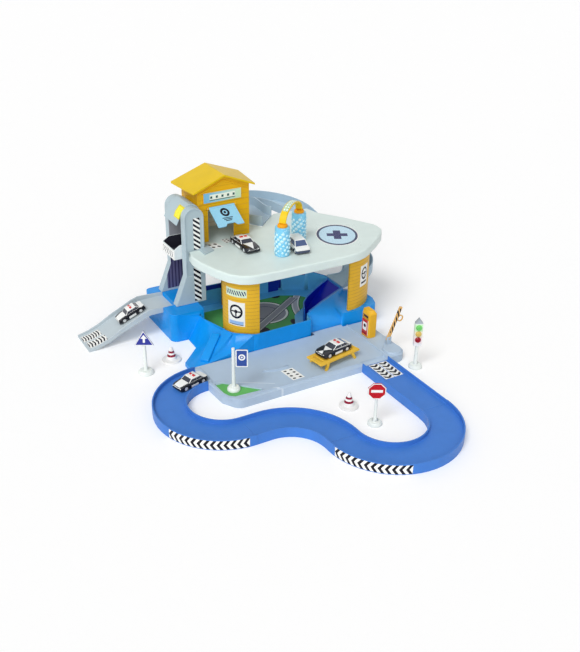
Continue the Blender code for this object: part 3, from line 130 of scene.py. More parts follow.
def splitVector(tree, vector):
    node = tree.nodes.new("ShaderNodeSeparateXYZ")
    feed(tree, node.inputs[0], vector)
    return [Signal(tree, output) for output in node.outputs]


def overlay(tree, mask, under, over):
    return wired(tree, "Mix", 2, {0: mask, 6: under, 7: over}, data_type="RGBA")


def surfaceNormal(tree):
    return wired(tree, "NewGeometry", "Normal")


# A group's sockets with these names are vectors; some numbers have a usual value.
vectorSockets = ("vector", "corner", "across", "up", "facing", "centre", "middle", "side", "half", "normal")
usualValues = {"x": 0.5, "y": 0.5, "squash": 1.0, "share": 0.5}


def newGroup(name, inputs, outputs, make):
    # make takes the inputs' signals and gives one signal for each output
    tree = bpy.data.node_groups.new(name, "ShaderNodeTree")
    for labels, way in ((inputs, "INPUT"), (outputs, "OUTPUT")):
        for label in labels.split():
            kind = "NodeSocketVector" if label in vectorSockets else "NodeSocketFloat"
            socket = tree.interface.new_socket(label, in_out=way, socket_type=kind)
            if label in usualValues:
                socket.default_value = usualValues[label]
    given = tree.nodes.new("NodeGroupInput").outputs
    result = tree.nodes.new("NodeGroupOutput").inputs
    made = make(tree, *[Signal(tree, given[label]) for label in inputs.split()])
    for label, signal in zip(outputs.split(), made):
        feed(tree, result[label], signal)


def placeGroup(tree, name, **sources):
    node = tree.nodes.new("ShaderNodeGroup")
    node.node_tree = bpy.data.node_groups[name]
    for label, source in sources.items():
        feed(tree, node.inputs[label], source)
    return {output.name: Signal(tree, output) for output in node.outputs}


# Shared effects.
grainLayers = ({"Scale": 0.3, "Detail": 2.0}, {"Scale": 2.6, "Detail": 3.0}, {"Scale": 19.0, "Detail": 2.0})


def mouldedGrain(tree, vector, tone, pits):
    broad, middle, fine = [wired(tree, "TexNoise", "Fac", {"Vector": vector, **layer}) - 0.5
                           for layer in grainLayers]
    return (middle * 0.6 + broad * 1.5) * tone + 1.0, middle * 0.22 + fine * 0.1, (fine + middle) * pits


def softEdges(tree, radius):
    # rounds the edges a little more in shading, and marks them for a painted highlight that lightens them
    # against the faces
    bent = wired(tree, "Bevel", 0, {"Radius": radius}, samples=6)
    turned = 1.0 - bent.vector("DOT_PRODUCT", surfaceNormal(tree))
    return bent, (turned * 5.0).math("MINIMUM", 1.0)


def distance(across, up):
    return (across * across + up * up).math("SQRT")


def flatSpace(tree, vector, corner, across, up, facing, depth):
    offset = vector.vector("SUBTRACT", corner)
    u, v, away = [offset.vector("DOT_PRODUCT", side) for side in (across, up, facing)]
    return u, v, u.near(0.5, 0.5) * v.near(0.5, 0.5) * away.near(0.0, depth)


def bentSpace(tree, vector, centre, middle, side, span, low, tall, radius, depth):
    # the space of a label that is bent round an upright axis
    offset = vector.vector("SUBTRACT", centre)
    along, aside = [offset.vector("DOT_PRODUCT", way) for way in (middle, side)]
    u = aside.math("ARCTAN2", along) / span + 0.5
    v = (splitVector(tree, offset)[2] - low) / tall
    return u, v, u.near(0.5, 0.5) * v.near(0.5, 0.5) * distance(along, aside).near(radius, depth)


def boxZone(tree, vector, middle, half):
    offset = vector.vector("SUBTRACT", middle).vector("ABSOLUTE")
    x, y, z = splitVector(tree, half.vector("SUBTRACT", offset))
    return [x.math("MINIMUM", y).math("MINIMUM", z) > 0.0]


# Each pattern takes a label's u and v and gives a mask for one ink.
def slantedBars(tree, u, v, count, slant, share):
    return [(u * count + v * slant).math("FRACT") < share]


def chevrons(tree, u, v, count, slant, share):
    return [(u * count + abs(v - 0.5) * 2.0 * slant).math("FRACT") < share]


def dots(tree, u, v, columns, rows, size):
    across, up = [(place * number).math("FRACT") - 0.5 for place, number in ((u, columns), (v, rows))]
    return [distance(across, up) < size]


def ring(tree, u, v, x, y, inner, outer, squash):
    reach = distance(u - x, (v - y) * squash)
    return [(reach > inner) * (reach < outer)]


def patch(tree, u, v, x, y, wide, tall):
    # wide and tall are the halves of its size
    return [u.near(x, wide) * v.near(y, tall)]


def wedge(tree, u, v, x, y, wide, tall):
    # a triangle on a level base, narrowing upwards
    climb = (v - y) / tall
    return [(abs(u - x) < (1.0 - climb) * wide) * (climb > 0.0)]


def road(tree, u, v, x, y, toX, toY, length, inner, outer):
    across = u - x
    up = v - y
    aside = abs(up * toX - across * toY)
    half = length * 0.5
    return [(across * toX + up * toY).near(half, half) * (aside < outer) * (aside > inner)]


newGroup("mouldedGrain", "vector tone pits", "shade rough height", mouldedGrain)
newGroup("softEdges", "radius", "normal edge", softEdges)
newGroup("flatSpace", "vector corner across up facing depth", "u v inside", flatSpace)
newGroup("bentSpace", "vector centre middle side span low tall radius depth", "u v inside", bentSpace)
newGroup("boxZone", "vector middle half", "mask", boxZone)
for pattern, values in ((slantedBars, "count slant share"), (chevrons, "count slant share"),
                        (dots, "columns rows size"), (ring, "x y inner outer squash"),
                        (patch, "x y wide tall"), (wedge, "x y wide tall"),
                        (road, "x y toX toY length inner outer")):
    newGroup(pattern.__name__, "u v " + values, "mask", pattern)
print("shared effects ready")


# Labels and zones.
def mark(pattern, colour, **values):
    return pattern, colour, values


def zone(low, high, colour, **more):
    return {"low": Vector(low), "high": Vector(high), "colour": colour, **more}


def labelSpace(tree, vector, label):
    if "centre" in label:
        start, end = [math.radians(angle) for angle in label["span"]]
        middle = (start + end) / 2
        return placeGroup(tree, "bentSpace", vector=vector, centre=(*label["centre"], 0.0),
                          middle=(math.cos(middle), math.sin(middle), 0.0),
                          side=(-math.sin(middle), math.cos(middle), 0.0), span=end - start,
                          low=label["low"], tall=label["high"] - label["low"], radius=label["radius"],
                          depth=label.get("depth", 0.3))
    across = Vector(label["across"])
    up = Vector(label["up"])
    return placeGroup(tree, "flatSpace", vector=vector, corner=label["corner"],
                      across=across / across.length_squared, up=up / up.length_squared,
                      facing=across.cross(up).normalized(), depth=label.get("depth", 0.2))


def addLabel(tree, vector, colour, label):
    space = labelSpace(tree, vector, label)
    u, v, inside = space["u"], space["v"], space["inside"]
    if label.get("topOnly"):
        inside = inside * (splitVector(tree, surfaceNormal(tree))[2] > 0.25)
    picture = label.get("paper", colour)
    if "paperEnd" in label:
        picture = overlay(tree, u, picture, label["paperEnd"])
    for name, shade, values in label["marks"]:
        mask = placeGroup(tree, name, u=u, v=v, **values)["mask"]
        if "trim" in label:
            wide, tall = label["trim"]
            mask = mask * placeGroup(tree, "patch", u=u, v=v, wide=wide, tall=tall)["mask"]
        picture = overlay(tree, mask, picture, shade)
    return overlay(tree, inside, colour, picture), inside


def addZone(tree, vector, colour, area):
    # facing is a direction, and inward is a place that the painted faces look toward
    low, high = area["low"], area["high"]
    mask = placeGroup(tree, "boxZone", vector=vector, middle=(low + high) / 2, half=(high - low) / 2)["mask"]
    toward = area.get("facing")
    if "inward" in area:
        offset = wired(tree, "VectorMath", "Vector", {0: area["inward"], 1: vector}, operation="SUBTRACT")
        toward = offset.vector("NORMALIZE")
    if toward is not None:
        mask = mask * (surfaceNormal(tree).vector("DOT_PRODUCT", toward) > 0.15)
    return overlay(tree, mask, colour, area["colour"])


def planPaint(marks, strength=1.0):
    # marks in plain centimetres, laid down from above
    def paint(tree, vector, colour):
        x, y = splitVector(tree, vector)[:2]
        for name, shade, values in marks:
            mask = placeGroup(tree, name, u=x, v=y, **values)["mask"]
            colour = overlay(tree, mask * strength, colour, shade)
        return colour
    return paint


def newLook(name):
    look = bpy.data.materials.new(name)
    look.use_nodes = True
    return look, look.node_tree, look.node_tree.nodes["Principled BSDF"]


# in a finish, edge is the strength of the painted highlight on the edges
usualFinish = {"roughness": 0.36, "tone": 0.12, "pits": 0.5, "soft": 0.05, "edge": 0.35, "specular": 0.2,
               "glow": 0.0, "coat": 0.0, "round": 0.06, "steps": 2, "smoothAngle": 32.0}
bumpSize = {"strength": 0.5, "distance": 0.02, "label": 0.6, "labelRough": -0.08}
# how much colour is kept and how much white is added for the painted edge highlight
edgeHighlight = {"keep": 0.82, "add": 0.16}


def plastic(red, green, blue, **more):
    return {**usualFinish, "colour": srgb(red, green, blue), **more}


def plasticLook(name, finish, labels=(), zones=(), paint=None):
    # moulded plastic: mottled colour, fine grain, soft edges with a painted highlight, then zones and labels
    look, tree, shader = newLook(name)
    vector = wired(tree, "Mapping", "Vector", {
        "Vector": wired(tree, "TexCoord", "Object"), "Location": -layoutShift / cm, "Scale": (1 / cm,) * 3})
    grain = placeGroup(tree, "mouldedGrain", vector=vector, tone=finish["tone"], pits=finish["pits"])
    edges = placeGroup(tree, "softEdges", radius=finish["soft"] * cm)
    colour = finish["colour"]
    for area in zones:
        colour = addZone(tree, vector, colour, area)
    if paint:
        colour = paint(tree, vector, colour)
    shaded = wired(tree, "VectorMath", "Vector", {0: colour, "Scale": grain["shade"]}, operation="SCALE")
    # painted highlight: the marked edges are lightened toward white
    highlighted = shaded.vector("SCALE", edgeHighlight["keep"]).vector("ADD", (edgeHighlight["add"],) * 3)
    colour = overlay(tree, edges["edge"] * finish["edge"], shaded, highlighted)
    height = grain["height"]
    rough = grain["rough"] + finish["roughness"]
    for label in labels:
        colour, inside = addLabel(tree, vector, colour, label)
        height = inside * bumpSize["label"] + height
        rough = inside * bumpSize["labelRough"] + rough
    normal = wired(tree, "Bump", "Normal", {
        "Strength": bumpSize["strength"], "Distance": bumpSize["distance"] * cm, "Height": height,
        "Normal": edges["normal"]})
    values = {"Base Color": colour, "Roughness": rough, "Normal": normal,
              "Specular IOR Level": finish["specular"], "Subsurface Weight": finish["glow"],
              "Subsurface Radius": (0.006, 0.006, 0.006),
              "Coat Weight": finish["coat"], "Coat Roughness": 0.08}
    for place, source in values.items():
        feed(tree, shader.inputs[place], source)
    return look


# Working on meshes.
def selectOnly(*pieces):
    bpy.ops.object.select_all(action="DESELECT")
    for piece in pieces:
        piece.select_set(True)
    bpy.context.view_layer.objects.active = pieces[-1]


def startEdit(piece):
    selectOnly(piece)
    bpy.ops.object.mode_set(mode="EDIT")
    bpy.ops.mesh.select_all(action="SELECT")


def endEdit():
    bpy.ops.object.mode_set(mode="OBJECT")


def pick(piece, kind, wanted):
    # in edit mode: selects only the parts of that kind that pass the test, and counts them
    bpy.ops.mesh.select_all(action="DESELECT")
    bpy.ops.mesh.select_mode(type=kind)
    shape = bmesh.from_edit_mesh(piece.data)
    parts = {"VERT": shape.verts, "EDGE": shape.edges, "FACE": shape.faces}[kind]
    found = [part for part in parts if wanted(part)]
    for part in found:
        part.select_set(True)
    bmesh.update_edit_mesh(piece.data)
    return len(found)


def extrude(*offset):
    bpy.ops.mesh.extrude_region_move(TRANSFORM_OT_translate={"value": [step * cm for step in offset]})


def inset(thick, depth=0.0, **more):
    bpy.ops.mesh.inset(thickness=thick * cm, depth=depth * cm, **more)


def cutAt(place, normal):
    bpy.ops.mesh.select_all(action="SELECT")
    bpy.ops.mesh.bisect(plane_co=place, plane_no=normal)


def addPiece(primitive, **settings):
    # a new primitive, with its place, turn and size put into its mesh
    bpy.ops.object.select_all(action="DESELECT")
    primitive(**settings)
    piece = bpy.context.object
    selectOnly(piece)
    bpy.ops.object.transform_apply(location=True, rotation=True, scale=True)
    return piece


def addRod(radius, long, vertices, **settings):
    return addPiece(bpy.ops.mesh.primitive_cylinder_add, radius=radius * cm, depth=long * cm,
                    vertices=vertices, **settings)


def addSlab(primitive, places, thick, **settings):
    # a flat primitive whose points are set out one by one, then extruded
    piece = addPiece(primitive, **settings)
    for vertex, place in zip(piece.data.vertices, places):
        vertex.co = spot(*place)
    startEdit(piece)
    extrude(0, 0, thick)
    bpy.ops.mesh.select_all(action="SELECT")
    bpy.ops.mesh.normals_make_consistent(inside=False)
    endEdit()
    return piece


def applied(piece, kind, **settings):
    modifier = piece.modifiers.new("step", kind)
    for name, value in settings.items():
        setattr(modifier, name, value)
    selectOnly(piece)
    bpy.ops.object.modifier_apply(modifier=modifier.name)


def smooth(piece, degrees=35.0):
    selectOnly(piece)
    bpy.ops.object.shade_smooth_by_angle(angle=math.radians(degrees))


def keep(piece, name, body, slot, *stands, look=None):
    if look:
        piece.data.materials.append(look)
    piece.name = name
    piece.data.name = name
    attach(piece, body)
    if stands:
        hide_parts(*stands)


def sharper(degrees=28.0, shortest=0.12):
    # a test for edges that are at least that sharp and that long
    def wanted(edge):
        return (len(edge.link_faces) == 2 and edge.calc_length() > shortest * cm
                and edge.calc_face_angle(0.0) > math.radians(degrees))
    return wanted


def roundEdges(piece, width, steps, wanted=sharper()):
    startEdit(piece)
    if pick(piece, "EDGE", wanted):
        bpy.ops.mesh.bevel(offset=width * cm, segments=steps, profile=0.5, affect="EDGES", clamp_overlap=True)
    endEdit()


def groove(piece, direction, places, width, depth, wanted):
    # cuts thin grooves across the faces that pass the test
    startEdit(piece)
    for place in places:
        for edge in (place - width / 2, place + width / 2):
            cutAt(direction * edge * cm + layoutShift, direction)
    for place in places:
        def inBand(face):
            return abs(layoutPlace(face).dot(direction) - place) < width / 2 and wanted(face)
        if pick(piece, "FACE", inBand):
            inset(0.005, -depth, use_even_offset=False)
    endEdit()


copySettings = {"merge": 0.001, "flat": 0.5, "mergeAtEnd": 0.008}


def dress(node, look, finish, labels=(), zones=(), paint=None, wanted=sharper(), before=None, rim=None):
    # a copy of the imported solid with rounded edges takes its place; look is a name or a finished look
    piece = bpy.data.objects.new(node + "_dressed", nodes[node].data.copy())
    bpy.context.scene.collection.objects.link(piece)
    piece.data.materials.clear()
    startEdit(piece)
    bpy.ops.mesh.remove_doubles(threshold=copySettings["merge"] * cm)
    bpy.ops.mesh.dissolve_limited(angle_limit=math.radians(copySettings["flat"]))
    endEdit()
    if before:
        before(piece)
    if finish["round"] > 0.0:
        roundEdges(piece, finish["round"], finish["steps"], wanted)
    startEdit(piece)
    bpy.ops.mesh.remove_doubles(threshold=copySettings["mergeAtEnd"] * cm)
    bpy.ops.mesh.select_all(action="SELECT")
    bpy.ops.mesh.vert_connect_concave()
    endEdit()
    smooth(piece, finish["smoothAngle"])
    applied(piece, "WEIGHTED_NORMAL", keep_sharp=True)
    if isinstance(look, str):
        look = plasticLook(look, finish, labels, zones, paint)
    piece.data.materials.append(look)
    if rim:
        piece.data.materials.append(rim)
    keep(piece, node + "_dressed", bodyOf[node], slotOf[node], node)


# Colours, heights and label makers that many pieces share.
ink = srgb(20, 20, 34)
paper = srgb(243, 244, 240)
navyInk = srgb(12, 22, 90)
levels = {"deck": 19.6, "platform": 1.8, "road": 1.35}


def bars(count, slant, share=0.5, pattern="slantedBars", colour=ink):
    return mark(pattern, colour, count=count, slant=slant, share=share)


def label(corner, across, up, *marks, **more):
    return {"corner": corner, "across": across, "up": up, "marks": marks, **more}


def dotLabel(corner, across, up, columns, rows, size=0.27):
    return label(corner, across, up, mark("dots", ink, columns=columns, rows=rows, size=size), paper=paper,
                 trim=(0.42, 0.42))


# The base, with the rib in its trough, its printed floor and the lane.
base = plastic(5, 144, 228, round=0.22, steps=3, tone=0.16, edge=0.38, soft=0.12, coat=0.15, smoothAngle=38.0)
deepBlue = srgb(20, 48, 170)
forward = (0.0, -1.0, 0.0)
baseZones = [
    # the inner faces of the basin, looking toward its middle, have their own mid-blue, painted much paler
    # here as painted light against the deck's shade
    zone((-4.75, 3.3, 0.45), (31.4, 30.6, 5.6), srgb(98, 190, 246), inward=(13.0, 18.0, 3.0)),
    zone((-4.0, 26.5, 4.5), (31.2, 30.6, 5.62), deepBlue, facing=forward),
    zone((19.5, 26.0, 0.45), (23.0, 30.6, 4.6), deepBlue, facing=forward),
    zone((-4.75, 11.0, 0.45), (-3.3, 26.5, 4.6), deepBlue, facing=(1.0, 0.0, 0.0)),
    zone((16.6, 4.35, 1.7), (31.0, 13.6, 5.75), srgb(36, 151, 238))]
dress("base_shell", "basePlastic", base, zones=baseZones, wanted=sharper(35.0, 0.5))

rib = {"depth": 1.9, "round": 0.2, "top": [(-5.96, 8.94, 5.45), (-4.24, 8.0, 5.45), (-8.35, 7.04, 3.8),
                                           (-6.65, 6.11, 3.8), (-10.59, 5.28, 2.1), (-9.35, 3.73, 2.1)]}
troughRib = addSlab(bpy.ops.mesh.primitive_grid_add, rib["top"], -rib["depth"], x_subdivisions=1,
                    y_subdivisions=2, size=cm)
roundEdges(troughRib, rib["round"], 4, sharper(50.0, 0.3))
smooth(troughRib, 50.0)
keep(troughRib, "trough_rib", "garage", slotOf["base_shell"], look=plasticLook("ribPlastic", base))

matPrint = {"road": srgb(150, 150, 160), "edge": srgb(240, 242, 238), "pale": srgb(188, 190, 198)}
loop = {"x": 13.4, "y": 20.0}
bend = {"x": 38.0, "y": 11.5}
crossing = {"x": 7.6, "y": 13.4, "toX": 0.838, "toY": 0.545, "length": 19.0}
matMarks = [
    mark("ring", ink, **loop, outer=5.75),
    mark("ring", matPrint["edge"], **loop, outer=5.55),
    mark("ring", matPrint["road"], **loop, outer=5.0),
    mark("ring", ink, **loop, inner=3.1, outer=3.25),
    mark("ring", ink, x=19.9, y=26.3, squash=1.4, outer=1.1),
    mark("ring", ink, x=9.0, y=12.4, squash=0.8, outer=1.3),
    mark("ring", ink, x=17.4, y=12.2, squash=0.6, outer=1.1),
    mark("ring", ink, **bend, inner=17.35, outer=19.35),
    mark("ring", matPrint["edge"], **bend, inner=17.5, outer=19.2),
    mark("ring", matPrint["pale"], **bend, inner=17.8, outer=18.9),
    mark("road", ink, **crossing, inner=-1.0, outer=1.15),
    mark("road", matPrint["road"], **crossing, inner=-1.0, outer=1.02),
    mark("road", matPrint["edge"], **crossing, inner=0.7, outer=0.8)]
card = plastic(84, 168, 92, roughness=0.5, tone=0.14, pits=0.3, round=0.0, edge=0.1)
dress("floor_mat", "matCard", card, paint=planPaint(matMarks))

lane = plastic(4, 26, 180, round=0.1, tone=0.18, edge=0.3)
laneZones = [zone((16.0, 5.0, 5.35), (32.0, 21.0, 5.7), srgb(44, 120, 215)),
             zone((16.0, 5.0, 0.5), (20.5, 13.0, 5.7), srgb(36, 104, 205), facing=(-0.8, 0.6, 0.0))]
dress("garage_lane", "lanePlastic", lane, zones=laneZones, wanted=sharper(40.0, 0.6))
print("base ready")

# The pillars, with brick courses and generic pictures.
amber = plastic(226, 178, 44, round=0.0, tone=0.12)
course = {"first": 1.1, "step": 0.86, "width": 0.1, "depth": 0.04, "top": 17.4, "above": 0.2}
wheelPicture = [mark("ring", ink, y=0.6, squash=1.3, inner=0.27, outer=0.38),
                mark("ring", ink, y=0.6, squash=1.3, outer=0.1),
                mark("patch", ink, y=0.6, wide=0.3, tall=0.025),
                mark("patch", ink, wide=0.04, tall=0.1)]
frontPillar = {"centre": (3.8, 10.1), "radius": 5.9}
rightPillar = {"centre": (27.0, 13.6), "radius": 9.2}
rearPillar = {"centre": (9.0, 23.7), "radius": 5.9}
frontLabels = [
    {**frontPillar, "span": (188.5, 238.5), "low": 13.9, "high": 15.8, "paper": srgb(214, 232, 205),
     "trim": (0.46, 0.28), "marks": [bars(9.0, 1.5, colour=navyInk)]},
    {**frontPillar, "span": (194.0, 234.5), "low": 7.0, "high": 12.7, "paper": srgb(236, 236, 228),
     "marks": [*wheelPicture, mark("patch", srgb(150, 185, 225), y=0.13, wide=0.42, tall=0.07),
               mark("patch", ink, y=0.05, wide=0.42, tall=0.012)]}]
rightLabels = [{**rightPillar, "span": (-72.5, -53.0), "low": 9.9, "high": 15.1, "paper": paper,
                "marks": [*wheelPicture, mark("patch", ink, y=0.17, wide=0.36, tall=0.05)]}]


def brickCourses(pillar):
    middle = Vector(pillar["centre"])

    def outside(face):
        reach = (layoutPlace(face).to_2d() - middle).length
        return reach > pillar["radius"] - 0.2 and abs(face.normal.z) < 0.3

    def cut(piece):
        low = min(vertex.co.z for vertex in piece.data.vertices) / cm
        count = int((course["top"] - course["first"]) / course["step"])
        heights = [course["first"] + course["step"] * index for index in range(count)]
        heights = [height for height in heights if height > low + course["above"]]
        groove(piece, upward, heights, course["width"], course["depth"], outside)
    return cut


def courseLines(rows, shade):
    # the bottoms of the courses hold a little shadow
    def paint(tree, vector, colour):
        height = splitVector(tree, vector)[2]
        start = (rows["first"] - 0.6 * rows["width"]) / rows["step"]
        lines = placeGroup(tree, "slantedBars", u=height, v=1.0, count=1.0 / rows["step"], slant=-start,
                           share=1.2 * rows["width"] / rows["step"])["mask"]
        return overlay(tree, lines * 0.5, colour, shade)
    return paint


for node, pillar, labels in (("front_pillar", frontPillar, frontLabels),
                             ("right_pillar", rightPillar, rightLabels), ("rear_pillar", rearPillar, [])):
    dress(node, node + "Plastic", amber, labels, paint=courseLines(course, srgb(176, 122, 24)),
          before=brickCourses(pillar))
print("pillars ready")

# The upper deck with its landing circle and floor labels.
deck = plastic(216, 230, 226, round=0.38, steps=4, tone=0.07, soft=0.1, edge=0.3)
across = Vector((0.877, -0.480, 0.0))
along = Vector((0.480, 0.877, 0.0))
landing = {"centre": Vector((29.2, 14.2, levels["deck"])), "wide": 5.0, "long": 6.5}
deckLabels = [label(landing["centre"] - across * landing["wide"] - along * landing["long"],
                    across * 2 * landing["wide"], along * 2 * landing["long"],
                    mark("ring", paper, outer=0.495), mark("ring", srgb(26, 44, 84), outer=0.475),
                    mark("ring", srgb(190, 222, 238), outer=0.42),
                    mark("patch", navyInk, wide=0.24, tall=0.065),
                    mark("patch", navyInk, wide=0.085, tall=0.2)),
              dotLabel((0.35, 20.5, levels["deck"]), (2.6, 0.5, 0.0), (0.2, 3.0, 0.0), 2.0, 2.0),
              dotLabel((4.4, 22.0, levels["deck"]), (1.8, 0.2, 0.0), (0.1, 2.5, 0.0), 2.0, 3.0)]


def deckRim(edge):
    places = [(vertex.co - layoutShift) / cm for vertex in edge.verts]
    onTop = all(place.z > levels["deck"] - 0.01 for place in places)
    middle = (places[0] + places[1]) / 2
    byHouse = middle.x < 16.0 and middle.y > 20.9
    return onTop and not byHouse and sharper(40.0, 0.6)(edge)


dress("upper_deck", "deckPlastic", deck, deckLabels, wanted=deckRim)
print("deck ready")

# The lift tower: two columns, the shaft's back, the hood and the tray.
tower = plastic(174, 192, 199, round=0.1, steps=3, tone=0.1)
shaftTop = 19.4  # above it the shaft is grey
hazard = bars(6.5, 1.1)
hazards = [label((-3.75, 21.55, 19.75), (0.0, 0.0, 7.4), (1.6, 0.0, 0.0), hazard, paper=paper),
           label((-4.05, 21.55, 7.3), (0.0, 0.0, 8.2), (1.7, 0.0, 0.0), hazard, paper=paper, depth=0.25)]
dress("tower_front_column", "columnPlastic", tower, hazards)


def shaftPaint(tree, vector, colour):
    # the side of the back column that faces the shaft: grey above, and below it purple with upright ribs
    def side(low, shade):
        return zone((-7.0, 26.0, low), (-1.4, 31.5, 29.0), shade, facing=forward)
    purple = addZone(tree, vector, colour, side(7.4, srgb(98, 96, 132)))
    lines = placeGroup(tree, "slantedBars", u=splitVector(tree, vector)[0], v=0.0, count=1.2, slant=0.0,
                       share=0.4)["mask"]
    dark = overlay(tree, lines, purple, srgb(58, 54, 90))
    colour = addZone(tree, vector, purple, side(7.4, dark))
    return addZone(tree, vector, colour, side(shaftTop, srgb(150, 152, 160)))


dress("tower_back_column", "backColumnPlastic", tower, paint=shaftPaint)

ribs = {"first": 24.0, "step": 0.78, "count": 8, "width": 0.22, "depth": 0.07}
shaft = plastic(62, 58, 98, round=0.0, tone=0.2, roughness=0.42)


def ribbed(piece):
    places = [ribs["first"] + ribs["step"] * index for index in range(ribs["count"])]
    groove(piece, Vector((0.0, 1.0, 0.0)), places, ribs["width"], ribs["depth"],
           lambda face: face.normal.x < -0.9)


dress("tower_back_panel", "shaftPlastic", shaft, before=ribbed,
      zones=[zone((-9.0, 20.0, shaftTop), (2.0, 33.0, 34.0), srgb(158, 160, 168))])

hoodLabel = label((-6.1, 23.1, 26.7), (0.0, 2.8, 0.0), (0.9, 0.0, 2.7),
                  mark("patch", srgb(240, 232, 60), wide=0.4, tall=0.42), depth=1.1, paper=srgb(226, 204, 26))
dress("tower_hood", "hoodPlastic", {**tower, "round": 0.06}, [hoodLabel])

tray = plastic(222, 230, 230, round=0.1, steps=3, tone=0.08)
trayLabel = label((-7.8, 30.0, 17.4), (0.0, -6.5, 0.0), (0.0, 0.0, 2.1),
                  bars(7.0, 0.6, 0.3, "chevrons", srgb(74, 80, 96)), paper=paper, trim=(0.46, 0.36))
trayInside = zone((-7.75, 23.4, 17.5), (-1.2, 30.2, 22.0), srgb(44, 44, 56), inward=(-4.6, 26.9, 18.9))
dress("lift_tray", "trayPlastic", tray, [trayLabel], [trayInside])

rampRoad = plastic(186, 198, 204, round=0.09, steps=3, tone=0.08)
rampBars = [label((-29.1 + 0.35 * row, 27.1 - 3.2 * row, 0.3), (4.3, 0.0, 1.05), (0.0, 2.7, 0.0),
                  bars(7.0 - row, 0.4, pattern="chevrons"), depth=0.7, topOnly=True, paper=paper,
                  trim=(0.49, 0.44)) for row in (0, 1)]
dress("left_ramp", "rampPlastic", rampRoad, rampBars, wanted=sharper(40.0, 0.5))
print("tower ready")

# The house on the deck.
houseWall = plastic(230, 176, 10, round=0.0, tone=0.1)
houseZones = [zone((-0.95, 24.85, 19.62), (11.65, 33.15, 31.2), srgb(236, 226, 200)),
              zone((-0.95, 32.5, 19.62), (5.5, 33.15, 26.0), srgb(186, 214, 232), facing=forward)]
boardInk = srgb(54, 92, 88)
boardLabel = label((0.35, 24.5, 28.85), (9.3, 0.0, 0.0), (0.0, 0.0, 2.3),
                   mark("patch", srgb(238, 242, 226), wide=0.34, tall=0.27),
                   mark("patch", boardInk, y=0.22, wide=0.34, tall=0.04),
                   *[mark("patch", boardInk, x=place, wide=0.028, tall=0.12)
                     for place in (0.2, 0.35, 0.5, 0.65, 0.8)],
                   paper=srgb(120, 188, 228), paperEnd=srgb(206, 230, 190), trim=(0.47, 0.4))
plank = {"first": 20.6, "step": 1.3, "count": 9, "width": 0.09, "depth": 0.035}


def houseCourses(piece):
    def outer(face):
        place = layoutPlace(face)
        walls = place.x < -1.05 or place.x > 11.75 or place.y < 24.75 or place.y > 33.25
        return walls and abs(face.normal.z) < 0.3
    heights = [plank["first"] + plank["step"] * index for index in range(plank["count"])]
    groove(piece, upward, heights, plank["width"], plank["depth"], outer)


dress("house_body", "housePlastic", houseWall, [boardLabel], houseZones,
      courseLines(plank, srgb(186, 132, 8)), before=houseCourses)
dress("house_roof", "roofPlastic", plastic(224, 188, 4, round=0.14, steps=3, tone=0.1, edge=0.3))

flap = plastic(128, 190, 224, round=0.07, steps=3)
flapLabel = label((1.42, 19.36, 24.75), (6.36, 0.0, 0.0), (0.0, 4.94, 2.85),
                  mark("ring", ink, y=0.68, squash=0.8, inner=0.09, outer=0.17),
                  mark("ring", ink, y=0.68, squash=0.8, outer=0.05),
                  *[mark("patch", ink, y=0.4 - 0.07 * row, wide=0.2 - 0.04 * row, tall=0.02)
                    for row in range(3)],
                  depth=0.3, topOnly=True, paper=srgb(146, 204, 230), trim=(0.47, 0.46))
dress("house_door_flap", "flapPlastic", flap, [flapLabel])

# a moulded trim follows the gable on the front wall
gable = {"left": -0.9, "right": 11.6, "low": 30.95, "rise": 2.55, "front": 24.52, "thick": 0.22, "high": 0.34}
middleX = (gable["left"] + gable["right"]) / 2
trim = addPiece(bpy.ops.mesh.primitive_cube_add, size=1,
                location=spot(middleX, gable["front"] + gable["thick"] / 2, gable["low"]),
                scale=Vector((gable["right"] - gable["left"], gable["thick"], gable["high"])) * cm)
startEdit(trim)
cutAt(spot(middleX, 0.0), (1, 0, 0))
pick(trim, "VERT", lambda vertex: abs(vertex.co.x - spot(middleX, 0.0).x) < 0.01 * cm)
bpy.ops.transform.translate(value=(0, 0, gable["rise"] * cm))
endEdit()
roundEdges(trim, 0.07, 3)
smooth(trim)
keep(trim, "gable_trim", "garage", "amber_plastic", look=plasticLook("trimPlastic", plastic(232, 176, 10)))
print("house ready")

# The spiral ramp.
spiral = plastic(182, 204, 219, round=0.08, tone=0.09)


def rimDarker(tree, vector, colour):
    # painted shade: the upright walls are darkened against the road
    upright = abs(splitVector(tree, surfaceNormal(tree))[2]) < 0.55
    return overlay(tree, upright * 0.75, colour, srgb(166, 190, 206))


dress("spiral_ramp", "spiralPlastic", spiral, paint=rimDarker, wanted=sharper(45.0, 0.5))

# The car wash: rollers with raised bubbles, caps and the arch.
wash = {"rollers": {"front": (12.3, 10.3), "rear": (20.0, 16.2)}, "radius": 1.64, "height": 5.8, "pin": 0.34,
        "pinTall": 0.75, "lift": 0.03, "round": 0.12}
bubble = {"count": 64, "largest": 0.5, "smallest": 0.24, "reach": 1.84, "edge": 0.4,
          "turn": 2.399963, "sizeStep": 0.754878}  # the turn is the golden angle, in radians


def bubblePaint(tree, vector, colour):
    reach = wired(tree, "TexVoronoi", "Distance", {"Vector": vector, "Scale": 1.7})
    return overlay(tree, (reach < 0.3) * 0.45, colour, srgb(206, 238, 248))


foam = plastic(128, 204, 238, tone=0.2, edge=0.55, roughness=0.3)
foamLook = plasticLook("rollerFoam", foam, paint=bubblePaint)
bubbleLook = plasticLook("bubblePlastic",
                         plastic(198, 236, 248, tone=0.06, edge=0.5, roughness=0.24, coat=0.3))


